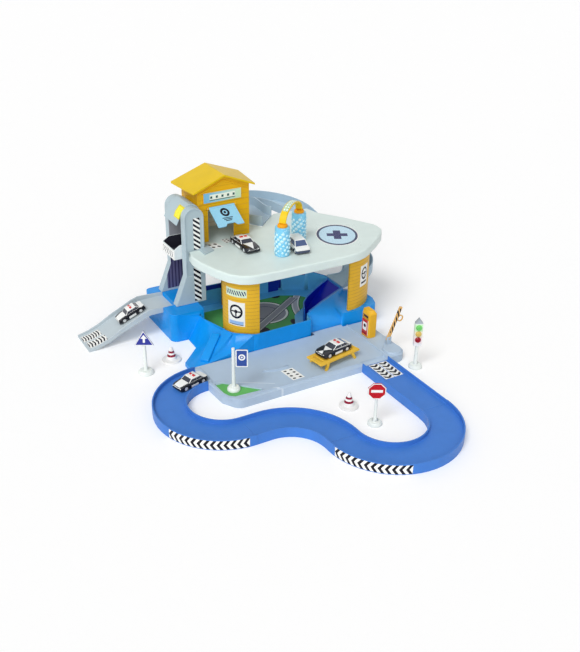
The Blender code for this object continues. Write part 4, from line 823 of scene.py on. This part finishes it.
def addBubble(index, x, y):
    size = bubble["smallest"] + (bubble["largest"] - bubble["smallest"]) * (index * bubble["sizeStep"] % 1.0)
    angle = bubble["turn"] * index
    height = bubble["edge"] + (wash["height"] - 2 * bubble["edge"]) * (index + 0.5) / bubble["count"]
    aside = Vector((math.cos(angle), math.sin(angle), 0.0)) * (bubble["reach"] - size)
    drop = addPiece(bpy.ops.mesh.primitive_ico_sphere_add, subdivisions=2, radius=size * cm,
                    location=spot(x, y, levels["deck"] + height) + aside * cm)
    drop.data.materials.append(bubbleLook)
    return drop


for end, (x, y) in wash["rollers"].items():
    roller = addRod(wash["radius"], wash["height"], 40,
                    location=spot(x, y, levels["deck"] + wash["lift"] + wash["height"] / 2))
    startEdit(roller)
    pick(roller, "FACE", lambda face: abs(face.normal.z) > 0.9)
    inset(wash["radius"] - wash["pin"])
    pick(roller, "FACE", lambda face: face.normal.z > 0.9 and face.calc_area() < 0.5 * cm * cm)
    extrude(0, 0, wash["pinTall"])
    endEdit()
    roundEdges(roller, wash["round"], 3, sharper(60.0, 0.2))
    roller.data.materials.append(foamLook)
    selectOnly(*[addBubble(index, x, y) for index in range(bubble["count"])], roller)
    bpy.ops.object.join()
    smooth(roller, 50.0)
    keep(roller, "wash_roller_" + end + "_foam", "roller_" + end, "sky_plastic", "wash_roller_" + end)
for end in wash["rollers"]:
    dress("wash_cap_" + end, "cap" + end.title(), plastic(240, 160, 20, round=0.12, steps=3))

archSpan = Vector((7.7, 5.9, 0.0))
archSide = Vector((-archSpan.y, archSpan.x, 0.0)).normalized()
archLabel = label(Vector((12.3, 10.3, 26.0)) + archSpan * 0.14 - archSide * 0.62, archSpan * 0.8,
                  archSide * 1.24, mark("patch", srgb(66, 92, 86), y=0.2, wide=0.5, tall=0.05),
                  mark("dots", srgb(238, 246, 240), columns=9.0, rows=2.0, size=0.3),
                  depth=9.0, topOnly=True, paper=srgb(178, 214, 170), paperEnd=srgb(214, 232, 224))
dress("wash_arch", "archPlastic", plastic(232, 196, 34, round=0.09, steps=3), [archLabel])
print("car wash ready")

# The front platform with the stand, the pump and the barrier.
platform = plastic(178, 197, 216, round=0.16, steps=3, tone=0.08, edge=0.25)
groundLabel = dotLabel((2.75, -11.3, levels["platform"]), (2.8, 0.3, 0.0), (0.0, 4.4, 0.0), 2.0, 4.0,
                       size=0.24)
# painted highlight: pale lines along the front edge and round the island stand in for the lit tops of raised
# ridges
ridgeHighlights = [mark("road", srgb(222, 232, 240), x=x, y=y, toX=toX, toY=toY, length=length, inner=-1.0, outer=0.11)
         for x, y, toX, toY, length in ((-3.0, -11.95, 0.886, -0.464, 5.6), (1.9, -14.5, 1.0, 0.0, 17.0),
                                        (-11.6, -4.6, 0.905, -0.426, 4.4), (-7.7, -6.4, 0.842, -0.539, 7.8))]
dress("front_platform", "platformPlastic", platform, [groundLabel], paint=planPaint(ridgeHighlights, 0.6),
      wanted=sharper(40.0, 0.5))

island = {"outline": [(-12.3, -5.5), (-12.2, -9.6), (-10.4, -11.0), (-4.4, -11.4), (-10.6, -5.6)],
          "thick": 0.04}
islandPlaces = [(x, y, levels["platform"] - 0.01) for x, y in island["outline"]]
lawn = plastic(98, 178, 96, roughness=0.5, tone=0.2, edge=0.1)
islandLabel = addSlab(bpy.ops.mesh.primitive_circle_add, islandPlaces, island["thick"],
                      vertices=len(islandPlaces), radius=cm, fill_type="NGON")
keep(islandLabel, "island_label", "garage", "printed_card", look=plasticLook("lawnCard", lawn))

stand = plastic(236, 190, 66, round=0.12, steps=3, tone=0.1)
standLook = plasticLook("standPlastic", stand)
dress("car_stand", standLook, stand, wanted=sharper(40.0, 0.3))
standWeb = {"middle": (14.4, -8.3, 3.33), "size": (10.6, 4.2, 0.22), "turn": math.radians(10.0),
            "round": 0.04, "step": 1.3, "width": 0.3, "depth": 0.08}
web = addPiece(bpy.ops.mesh.primitive_cube_add, size=1, location=spot(*standWeb["middle"]),
               rotation=(0, 0, standWeb["turn"]), scale=Vector(standWeb["size"]) * cm)
lengthwise = Vector((math.cos(standWeb["turn"]), math.sin(standWeb["turn"]), 0.0))
webMiddle = Vector(standWeb["middle"]).dot(lengthwise)
groove(web, lengthwise, [webMiddle + standWeb["step"] * index for index in range(-3, 4)], standWeb["width"],
       standWeb["depth"], lambda face: face.normal.z > 0.9)
roundEdges(web, standWeb["round"], 2, sharper(60.0, 1.0))
smooth(web)
keep(web, "stand_web", "garage", "gold_plastic", look=standLook)

pump = plastic(232, 178, 44, round=0.12, steps=3, tone=0.1)
dress("fuel_pump", "pumpPlastic", pump, zones=[zone((26.2, -3.8, 6.35), (28.6, -1.8, 7.2), srgb(62, 52, 60),
                                                    facing=(-1.0, 0.0, 0.0))])
plateLabel = label((26.3, -1.75, 2.3), (0.0, -2.1, 0.0), (0.0, 0.0, 3.8),
                   mark("patch", paper, y=0.56, wide=0.34, tall=0.26),
                   mark("ring", srgb(52, 20, 30), y=0.6, squash=1.8, outer=0.2),
                   mark("patch", srgb(120, 24, 34), y=0.13, wide=0.38, tall=0.04),
                   depth=0.5, paper=srgb(206, 54, 50))
dress("fuel_pump_plate", "platePlastic", plastic(236, 238, 232, round=0.05), [plateLabel])

arm = {"pivot": Vector((29.0, -7.9, 3.0)), "along": Vector((0.373, 0.0, 0.928)),
       "across": Vector((0.928, 0.0, -0.373)), "start": 1.4, "long": 5.9, "wide": 0.72}
armLabel = label(arm["pivot"] + arm["along"] * arm["start"] - arm["across"] * arm["wide"] / 2,
                 arm["along"] * arm["long"], arm["across"] * arm["wide"], bars(5.0, 0.9), depth=1.5)
dress("barrier_arm", "armPlastic", plastic(226, 180, 112, round=0.07, steps=3), [armLabel])
print("platform ready")

# The track.
track = plastic(66, 124, 206, round=0.14, steps=3, tone=0.12, edge=0.35)
trackWall = {"radius": 14.0, "low": 0.14, "high": 2.06, "paper": paper}
leftLabel = {**trackWall, "centre": (-13.25, -11.2), "span": (197.1, 264.3),
             "marks": [bars(13.0, -0.55, pattern="chevrons")]}
rightLabel = {**trackWall, "centre": (11.4, -32.93), "span": (188.6, 250.5),
              "marks": [bars(12.0, -0.55, pattern="chevrons")]}
roadRows = [label((22.25 + 2.3 * row, -19.6, levels["road"]), (0.0, 6.2, 0.0), (-2.15, 0.0, 0.0),
                  bars(5.0, -0.6, 0.52, "chevrons"), paper=paper, trim=(0.48, 0.42)) for row in (0, 1)]
for node, labels in (("track_curve_left", [leftLabel]), ("track_bend", []),
                     ("track_curve_right", [rightLabel]), ("track_straight", roadRows)):
    dress(node, node + "Plastic", track, labels, wanted=sharper(40.0, 0.4))
print("track ready")

# The signs.
frosted = plastic(232, 238, 234, round=0.08, steps=3, tone=0.06, glow=0.3, roughness=0.28)
postLook = plasticLook("frostedPlastic", frosted)
for sign in ("triangle_sign", "panel_sign", "octagon_sign", "traffic_light"):
    dress(sign + "_post", postLook, frosted)

signAcross = Vector((0.875, -0.485, 0.0))
signFacing = Vector((-0.485, -0.875, 0.0))
signField = {"step": 0.02, "depth": 0.05, "smallest": 0.4 * cm * cm}
signs = {
    "triangle_sign_panel": {
        "look": "indigoPlastic", "colour": (52, 60, 152), "rim": 0.16, "middle": (-21.6, 8.7, 6.73),
        "half": 2.05, "tall": 3.5, "marks": [mark("wedge", paper, y=0.46, wide=0.17, tall=0.26),
                                             mark("patch", paper, y=0.33, wide=0.055, tall=0.14)]},
    "panel_sign_panel": {
        "look": "boardPlastic", "colour": (58, 84, 156), "rim": 0.24, "middle": (-8.13, -9.5148, 7.2),
        "half": 1.25, "tall": 4.0, "marks": [mark("ring", paper, y=0.55, squash=1.6, inner=0.16, outer=0.28),
                                             mark("ring", paper, y=0.55, squash=1.6, outer=0.08)]},
    "octagon_sign_panel": {
        "look": "octagonPlastic", "colour": (192, 30, 40), "rim": 0.18, "middle": (9.9, -30.1, 5.64),
        "half": 1.85, "tall": 3.7, "marks": [mark("patch", paper, wide=0.3, tall=0.08)]}}


def framed(width):
    # the field of a sign is let into its face, and its rim keeps the second look
    def faces(face):
        return face.normal.dot(signFacing) > 0.95

    def shapeFace(piece):
        startEdit(piece)
        if pick(piece, "FACE", lambda face: faces(face) and face.calc_area() > signField["smallest"]):
            inset(width)
            shape = bmesh.from_edit_mesh(piece.data)
            for face in shape.faces:
                if faces(face) and not face.select:
                    face.material_index = 1
            bmesh.update_edit_mesh(piece.data)
            inset(signField["step"], -signField["depth"])
        endEdit()
    return shapeFace


whiteRim = plasticLook("rimPlastic", plastic(240, 242, 238))
for node, sign in signs.items():
    picture = label(Vector(sign["middle"]) - signAcross * sign["half"], signAcross * 2 * sign["half"],
                    (0.0, 0.0, sign["tall"]), *sign["marks"], depth=0.6)
    dress(node, sign["look"], plastic(*sign["colour"]), [picture], before=framed(sign["rim"]), rim=whiteRim)

# each lamp's hood colour is a painted glow: the lens colour tinting the white head round it, as if the lamp
# were lit
lamps = {"traffic_lamp_red": {"lens": (150, 14, 26), "hood": (246, 226, 228)},
         "traffic_lamp_amber": {"lens": (216, 184, 92), "hood": (240, 236, 214)},
         "traffic_lamp_green": {"lens": (112, 204, 100), "hood": (206, 240, 196)}}
# hood here is how far the painted glow band reaches above and below the lens
lampShape = {"head": 0.8, "lens": 1.3, "hood": 0.32}


def resized(share, direction=None):
    # scales a small piece about its own middle, or only along one direction
    def shapePiece(piece):
        middle = sum([Vector(corner) for corner in piece.bound_box], Vector()) / 8
        for vertex in piece.data.vertices:
            offset = vertex.co - middle
            reach = offset if direction is None else direction * offset.dot(direction)
            vertex.co += reach * (share - 1.0)
    return shapePiece


# painted glow: bands of the head round each lens are tinted with that lens's colour
headZones = [zone((27.5, -18.5, 10.75), (32.5, -15.0, 12.0), srgb(168, 178, 184))]
for node, finish in lamps.items():
    heights = [vertex.co.z / cm for vertex in nodes[node].data.vertices]
    headZones.append(zone((27.5, -19.5, min(heights) - lampShape["hood"]),
                          (32.5, -14.0, max(heights) + lampShape["hood"]), srgb(*finish["hood"])))
dress("traffic_light_head", "headPlastic", plastic(232, 234, 236, round=0.1, steps=3), zones=headZones,
      before=resized(lampShape["head"], signAcross.normalized()))
for node, finish in lamps.items():
    lens = plastic(*finish["lens"], steps=3, roughness=0.2, coat=0.6, glow=0.1, tone=0.06)
    dress(node, node + "Plastic", lens, before=resized(lampShape["lens"]))

coneBands = {"colour": srgb(142, 26, 52), "heights": ((1.15, 1.6), (2.0, 2.42)), "half": 2.0}
for node, (x, y) in (("cone_left", (-14.7, 11.1)), ("cone_front", (8.9, -22.6))):
    half = coneBands["half"]
    bands = [zone((x - half, y - half, low), (x + half, y + half, high), coneBands["colour"])
             for low, high in coneBands["heights"]]
    dress(node, node + "Plastic", plastic(238, 238, 236, round=0.07, steps=3), zones=bands)
print("signs ready")

# The cars: one body is shaped for each from its own sizes, and one wheel is copied.
carFinishes = {
    "white": plastic(238, 240, 238, roughness=0.22, coat=0.5, tone=0.05, edge=0.1),
    "black": plastic(22, 24, 34, roughness=0.22, coat=0.5, tone=0.2, edge=0.5),
    "glass": plastic(30, 36, 54, roughness=0.12, coat=0.8, tone=0.2, edge=0.3),
    "slateGlass": plastic(60, 80, 124, roughness=0.14, coat=0.8, tone=0.15, edge=0.3),
    "navy": plastic(66, 74, 98, roughness=0.24, coat=0.5, tone=0.15, edge=0.3),
    "beacon": plastic(200, 34, 42, roughness=0.16, coat=0.7, tone=0.08, glow=0.2),
    "lamp": plastic(226, 230, 224, roughness=0.12, coat=0.8, tone=0.05),
    "tyre": plastic(26, 26, 30, roughness=0.6, tone=0.25, edge=0.5, pits=1.2),
    "hub": plastic(216, 220, 222, roughness=0.26, coat=0.4, tone=0.08)}
finishOrder = list(carFinishes)
carLooks = [plasticLook("car" + name[0].upper() + name[1:], finish) for name, finish in carFinishes.items()]

usualCar = {"belt": 0.68, "cabin": (-0.72, 0.42, -0.42, 0.12), "bonnet": (0.76, 0.7), "plain": False,
            "pitch": 0.0}
cars = {
    "track_car": {**usualCar, "size": (7.2, 3.1, 2.1), "place": (-16.15, -2.05, 1.35), "heading": 195.0},
    "stand_car": {**usualCar, "size": (8.0, 3.4, 2.2), "belt": 0.67, "cabin": (-0.86, 0.4, -0.45, 0.05),
                  "bonnet": (0.6, 0.14), "place": (14.6, -8.0, 3.6), "heading": 190.0},
    "ramp_car": {**usualCar, "size": (6.9, 3.1, 2.1), "place": (-17.6, 26.8, 4.57), "heading": 180.0,
                 "pitch": 21.66},
    "deck_car": {**usualCar, "size": (8.8, 3.6, 2.2), "belt": 0.67, "cabin": (-0.74, 0.36, -0.4, 0.08),
                 "bonnet": (0.66, 0.42), "place": (7.1, 18.0, 19.6), "heading": 270.0},
    "wash_car": {**usualCar, "size": (6.6, 3.5, 2.7), "belt": 0.56, "cabin": (-0.92, 0.62, -0.84, 0.3),
                 "plain": True, "place": (16.9, 11.2, 19.6), "heading": 262.0}}
wheel = {"radius": 0.55, "width": 0.5, "along": 0.31, "hub": 0.4, "well": 0.66, "inset": 0.05, "axle": 0.12,
         "rings": ((0.11, 0.0), (0.04, -0.05), (0.07, 0.0), (0.05, -0.04), (0.04, 0.06))}
shellShape = {"low": 0.3, "bumper": 0.1, "lift": 0.03, "door": 0.13, "ends": 0.86, "shoulder": 0.93,
              "noseFrom": 0.3, "noseDrop": 0.34, "tailFrom": 0.6, "tailDrop": 0.14, "round": 0.1}
cabinShape = {"width": 0.9, "sunk": 0.12, "top": 0.8, "round": 0.09, "frame": 0.06, "sill": 0.02,
              "glass": 0.03}
lightBar = {"half": 0.25, "below": 0.08, "above": 0.2, "middle": 0.12}
sideways = (math.pi / 2, 0, 0)


def addBox(low, high):
    ends = list(zip(low, high))
    return addPiece(bpy.ops.mesh.primitive_cube_add, size=1,
                    location=[(start + end) / 2 * cm for start, end in ends],
                    scale=[(end - start) * cm for start, end in ends])


def cutAcross(piece, axis, places):
    normal = Vector((0.0, 0.0, 0.0))
    normal[axis] = 1.0
    startEdit(piece)
    for place in places:
        cutAt(normal * (place * cm), normal)
    endEdit()


def paintFaces(piece, chooser):
    if not piece.data.materials:
        for look in carLooks:
            piece.data.materials.append(look)
    for face in piece.data.polygons:
        face.material_index = finishOrder.index(chooser(face.center / cm, face.normal))


def lowerBody(car):
    length, width, height = car["size"]
    belt = height * car["belt"]
    half = length / 2 - shellShape["bumper"]
    side = width / 2
    lowEnd = (shellShape["low"] + belt) / 2
    shell = addBox((-half, -side, shellShape["low"]), (half, side, belt))
    door = shellShape["door"] * length
    cutAcross(shell, 0, (-0.82 * half, -door, door, 0.5 * half, 0.86 * half))
    cutAcross(shell, 2, (lowEnd,))
    wide, nose = car["bonnet"]
    start = car["cabin"][1] * half
    for hand in (-1, 1):
        line = Vector((half - start, hand * (nose - wide) * side, 0.0))
        startEdit(shell)
        cutAt(Vector((start, hand * wide * side, 0.0)) * cm, line.cross(upward))
        endEdit()
    for vertex in shell.data.vertices:
        x, y, z = vertex.co / cm
        if abs(x) > half - 0.01:
            y *= shellShape["ends"]
        if z > belt - 0.01:
            y *= shellShape["shoulder"]
            ahead, behind = [max(0.0, (place / half - begin) / (1.0 - begin))
                             for place, begin in ((x, shellShape["noseFrom"]), (-x, shellShape["tailFrom"]))]
            z -= shellShape["noseDrop"] * ahead ** 2 + shellShape["tailDrop"] * behind
        vertex.co = Vector((x, y, z)) * cm

    def isLow(face):
        return face.calc_center_median().z < lowEnd * cm
    startEdit(shell)
    if pick(shell, "FACE", lambda face: abs(face.normal.x) > 0.9 and isLow(face)):
        inset(0.05, shellShape["bumper"], use_individual=True)
    if pick(shell, "FACE", lambda face: face.normal.x > 0.85 and not isLow(face)):
        inset(0.12, -0.05)
    endEdit()
    roundEdges(shell, shellShape["round"], 3, sharper(50.0, 0.3))
    for end in (-1, 1):
        axle = Vector((end * wheel["along"] * length, 0.0, wheel["radius"])) * cm
        cutter = addRod(wheel["well"], width + 0.4, 28, location=axle, rotation=sideways)
        applied(shell, "BOOLEAN", operation="DIFFERENCE", object=cutter, solver="EXACT")
        bpy.data.objects.remove(cutter)

    def livery(centre, normal):
        nearWheel = abs(abs(centre.x) - wheel["along"] * length) < wheel["well"] + 0.01 and centre.z < 1.15
        inWell = nearWheel and abs(normal.y) < 0.5 and normal.z < 0.3
        if inWell or centre.z < shellShape["low"] + 0.02:
            return "black"
        if car["plain"]:
            return "navy" if centre.z < lowEnd else "white"
        onDoor = abs(normal.y) > 0.6 and abs(centre.x + 0.02 * length) < door and centre.z < lowEnd
        border = (wide + (nose - wide) * (centre.x - start) / (half - start)) * side
        onBonnet = normal.z > 0.6 and abs(centre.y) < border
        return "white" if onDoor or onBonnet else "black"
    paintFaces(shell, livery)
    return shell


def upperBody(car):
    length, width, height = car["size"]
    rear, front, topRear, topFront = [share * length / 2 for share in car["cabin"]]
    side = width / 2 * cabinShape["width"]
    cabin = addBox((rear, -side, height * car["belt"] - cabinShape["sunk"]), (front, side, height))
    for vertex in cabin.data.vertices:
        if vertex.co.z > (height - 0.01) * cm:
            vertex.co.x = (topRear if vertex.co.x < (rear + front) / 2 * cm else topFront) * cm
            vertex.co.y *= cabinShape["top"]
    cutAcross(cabin, 0, ((topRear + topFront) / 2 - 0.02 * length,))
    roundEdges(cabin, cabinShape["round"], 3, sharper(25.0, 0.5))
    startEdit(cabin)
    pick(cabin, "FACE", lambda face: face.calc_area() > 0.25 * cm * cm and face.normal.z > -0.5
         and face.calc_center_median().z < (height - 0.1) * cm)
    inset(cabinShape["frame"], use_individual=True)
    inset(cabinShape["sill"], -cabinShape["glass"], use_individual=True)
    windows = [face.index for face in bmesh.from_edit_mesh(cabin.data).faces if face.select]
    endEdit()
    glass, frames = ("slateGlass", "white") if car["plain"] else ("glass", "black")
    paintFaces(cabin, lambda centre, normal:
               frames if abs(normal.y) > 0.6 and centre.z < height - 0.25 else "white")
    for index in windows:
        cabin.data.polygons[index].material_index = finishOrder.index(glass)
    return cabin


def fittings(car):
    length, width, height = car["size"]
    found = []
    if not car["plain"]:
        middle = (car["cabin"][2] + car["cabin"][3]) / 2 * length / 2
        bar = addBox((middle - lightBar["half"], -width / 4, height - lightBar["below"]),
                     (middle + lightBar["half"], width / 4, height + lightBar["above"]))
        cutAcross(bar, 1, (-lightBar["middle"], lightBar["middle"]))
        roundEdges(bar, 0.08, 3, sharper(50.0, 0.1))
        paintFaces(bar, lambda centre, normal: "lamp" if abs(centre.y) < lightBar["middle"] else "beacon")
        found.append(bar)
    for end, look, high in ((1, "lamp", 0.66), (-1, "beacon", 0.72)):
        for hand in (-1, 1):
            lift = shellShape["low"] + high * (height * car["belt"] - shellShape["low"]) - 0.12
            place = Vector((end * (length / 2 - shellShape["bumper"] - 0.02), hand * 0.3 * width, lift))
            lens = addPiece(bpy.ops.mesh.primitive_uv_sphere_add, segments=16, ring_count=8,
                            radius=0.5 * cm, scale=(0.14, 0.36, 0.2), location=place * cm)
            paintFaces(lens, lambda centre, normal: look)
            found.append(lens)
    return found


def makeWheel():
    piece = addRod(wheel["radius"], wheel["width"], 32, rotation=sideways)
    startEdit(piece)
    pick(piece, "FACE", lambda face: face.normal.y < -0.9)
    for thick, depth in wheel["rings"]:
        inset(thick, depth)
    endEdit()
    sharp = sharper(60.0, 0.05)
    roundEdges(piece, 0.07, 3,
               lambda edge: sharp(edge) and min(vertex.co.xz.length for vertex in edge.verts) > 0.5 * cm)
    paintFaces(piece, lambda centre, normal:
               "hub" if centre.xz.length < wheel["hub"] + 0.01 and centre.y < 0 else "tyre")
    smooth(piece, 40.0)
    return piece


def wheelPair(seat, along, reach):
    # two copies of the wheel, turned outwards, and the axle between them
    pair = []
    middle = Vector((along, 0.0, wheel["radius"]))
    for hand, turn in ((-1, 0.0), (1, math.pi)):
        piece = masterWheel.copy()
        piece.data = masterWheel.data.copy()
        bpy.context.scene.collection.objects.link(piece)
        place = Matrix.Translation((middle + Vector((0.0, hand * reach, 0.0))) * cm)
        piece.data.transform(seat @ place @ Matrix.Rotation(turn, 4, "Z"))
        pair.append(piece)
    axle = addRod(wheel["axle"], 2 * reach, 16, rotation=sideways)
    roundEdges(axle, 0.02, 2)
    axle.data.transform(seat @ Matrix.Translation(middle * cm))
    paintFaces(axle, lambda centre, normal: "hub")
    selectOnly(*pair, axle)
    bpy.ops.object.join()
    return axle


masterWheel = makeWheel()
for name, car in cars.items():
    length, width = car["size"][:2]
    heading, pitch = math.radians(car["heading"]), math.radians(car["pitch"])
    turn = Matrix.Rotation(heading, 4, "Z") @ Matrix.Rotation(pitch, 4, "Y")
    seat = Matrix.Translation(spot(*car["place"]) + upward * shellShape["lift"] * cm) @ turn
    shell = lowerBody(car)
    selectOnly(upperBody(car), *fittings(car), shell)
    bpy.ops.object.join()
    smooth(shell, 38.0)
    shell.data.transform(seat)
    keep(shell, name + "_dressed", name, "car_paint", name + "_body")
    reach = width / 2 - wheel["inset"] - wheel["width"] / 2
    for end, side in (("front", 1), ("rear", -1)):
        node = name + "_wheels_" + end
        pair = wheelPair(seat, side * wheel["along"] * length, reach)
        keep(pair, node + "_dressed", name + "_" + end + "_wheels", "tyre_plastic", node)
bpy.data.objects.remove(masterWheel)
print("cars ready")

# The floor, the light and the camera.
studio = {"floor": 14.0, "paper": 0.96, "lift": 0.09, "sky": 0.46,
          "lamps": {"window": {"strength": 1.45, "softness": 26.0, "tilt": 38.0, "turn": -62.0},
                    "fill": {"strength": 0.95, "softness": 40.0, "tilt": 68.0, "turn": -36.0}}}
white = (1.0, 1.0, 1.0, 1.0)
backdrop = addPiece(bpy.ops.mesh.primitive_plane_add, size=studio["floor"])
backdrop.name = "floor"
floorLook, floorTree, floorShader = newLook("floorPaper")
lifted = wired(floorTree, "LightPath", "Is Camera Ray") * studio["lift"]
floorValues = {"Base Color": (*[studio["paper"]] * 3, 1.0), "Roughness": 0.9, "Specular IOR Level": 0.1,
               "Emission Color": white, "Emission Strength": lifted}
for place, source in floorValues.items():
    feed(floorTree, floorShader.inputs[place], source)
backdrop.data.materials.append(floorLook)

world = bpy.data.worlds.new("studio")
bpy.context.scene.world = world
world.use_nodes = True
views = [wired(world.node_tree, "LightPath", output)
         for output in ("Is Camera Ray", "Is Glossy Ray", "Is Transmission Ray")]
seen = views[0].math("MAXIMUM", views[1]).math("MAXIMUM", views[2])
background = world.node_tree.nodes["Background"]
background.inputs["Color"].default_value = white
feed(world.node_tree, background.inputs["Strength"],
     seen.math("MULTIPLY_ADD", 1.0 - studio["sky"], studio["sky"]))

for name, lamp in studio["lamps"].items():
    sunData = bpy.data.lights.new(name, "SUN")
    sunData.energy = lamp["strength"]
    sunData.angle = math.radians(lamp["softness"])
    sun = bpy.data.objects.new(name, sunData)
    sun.rotation_euler = Euler((math.radians(lamp["tilt"]), 0.0, math.radians(lamp["turn"])))
    bpy.context.scene.collection.objects.link(sun)

view = {"place": (-0.85, -1.55, 0.95), "heading": (0.480, 0.877), "down": math.radians(28.2), "lens": 47.48,
        "shiftX": 0.043}
cameraData = bpy.data.cameras.new("camera")
cameraData.lens = view["lens"]
cameraData.shift_x = view["shiftX"]
camera = bpy.data.objects.new("camera", cameraData)
camera.location = view["place"]
flat = Vector(view["heading"]) * math.cos(view["down"])
camera.rotation_euler = Vector((*flat, -math.sin(view["down"]))).to_track_quat("-Z", "Y").to_euler()
bpy.context.scene.collection.objects.link(camera)
bpy.context.scene.camera = camera
bpy.context.scene.view_settings.view_transform = "Standard"
print("studio ready")
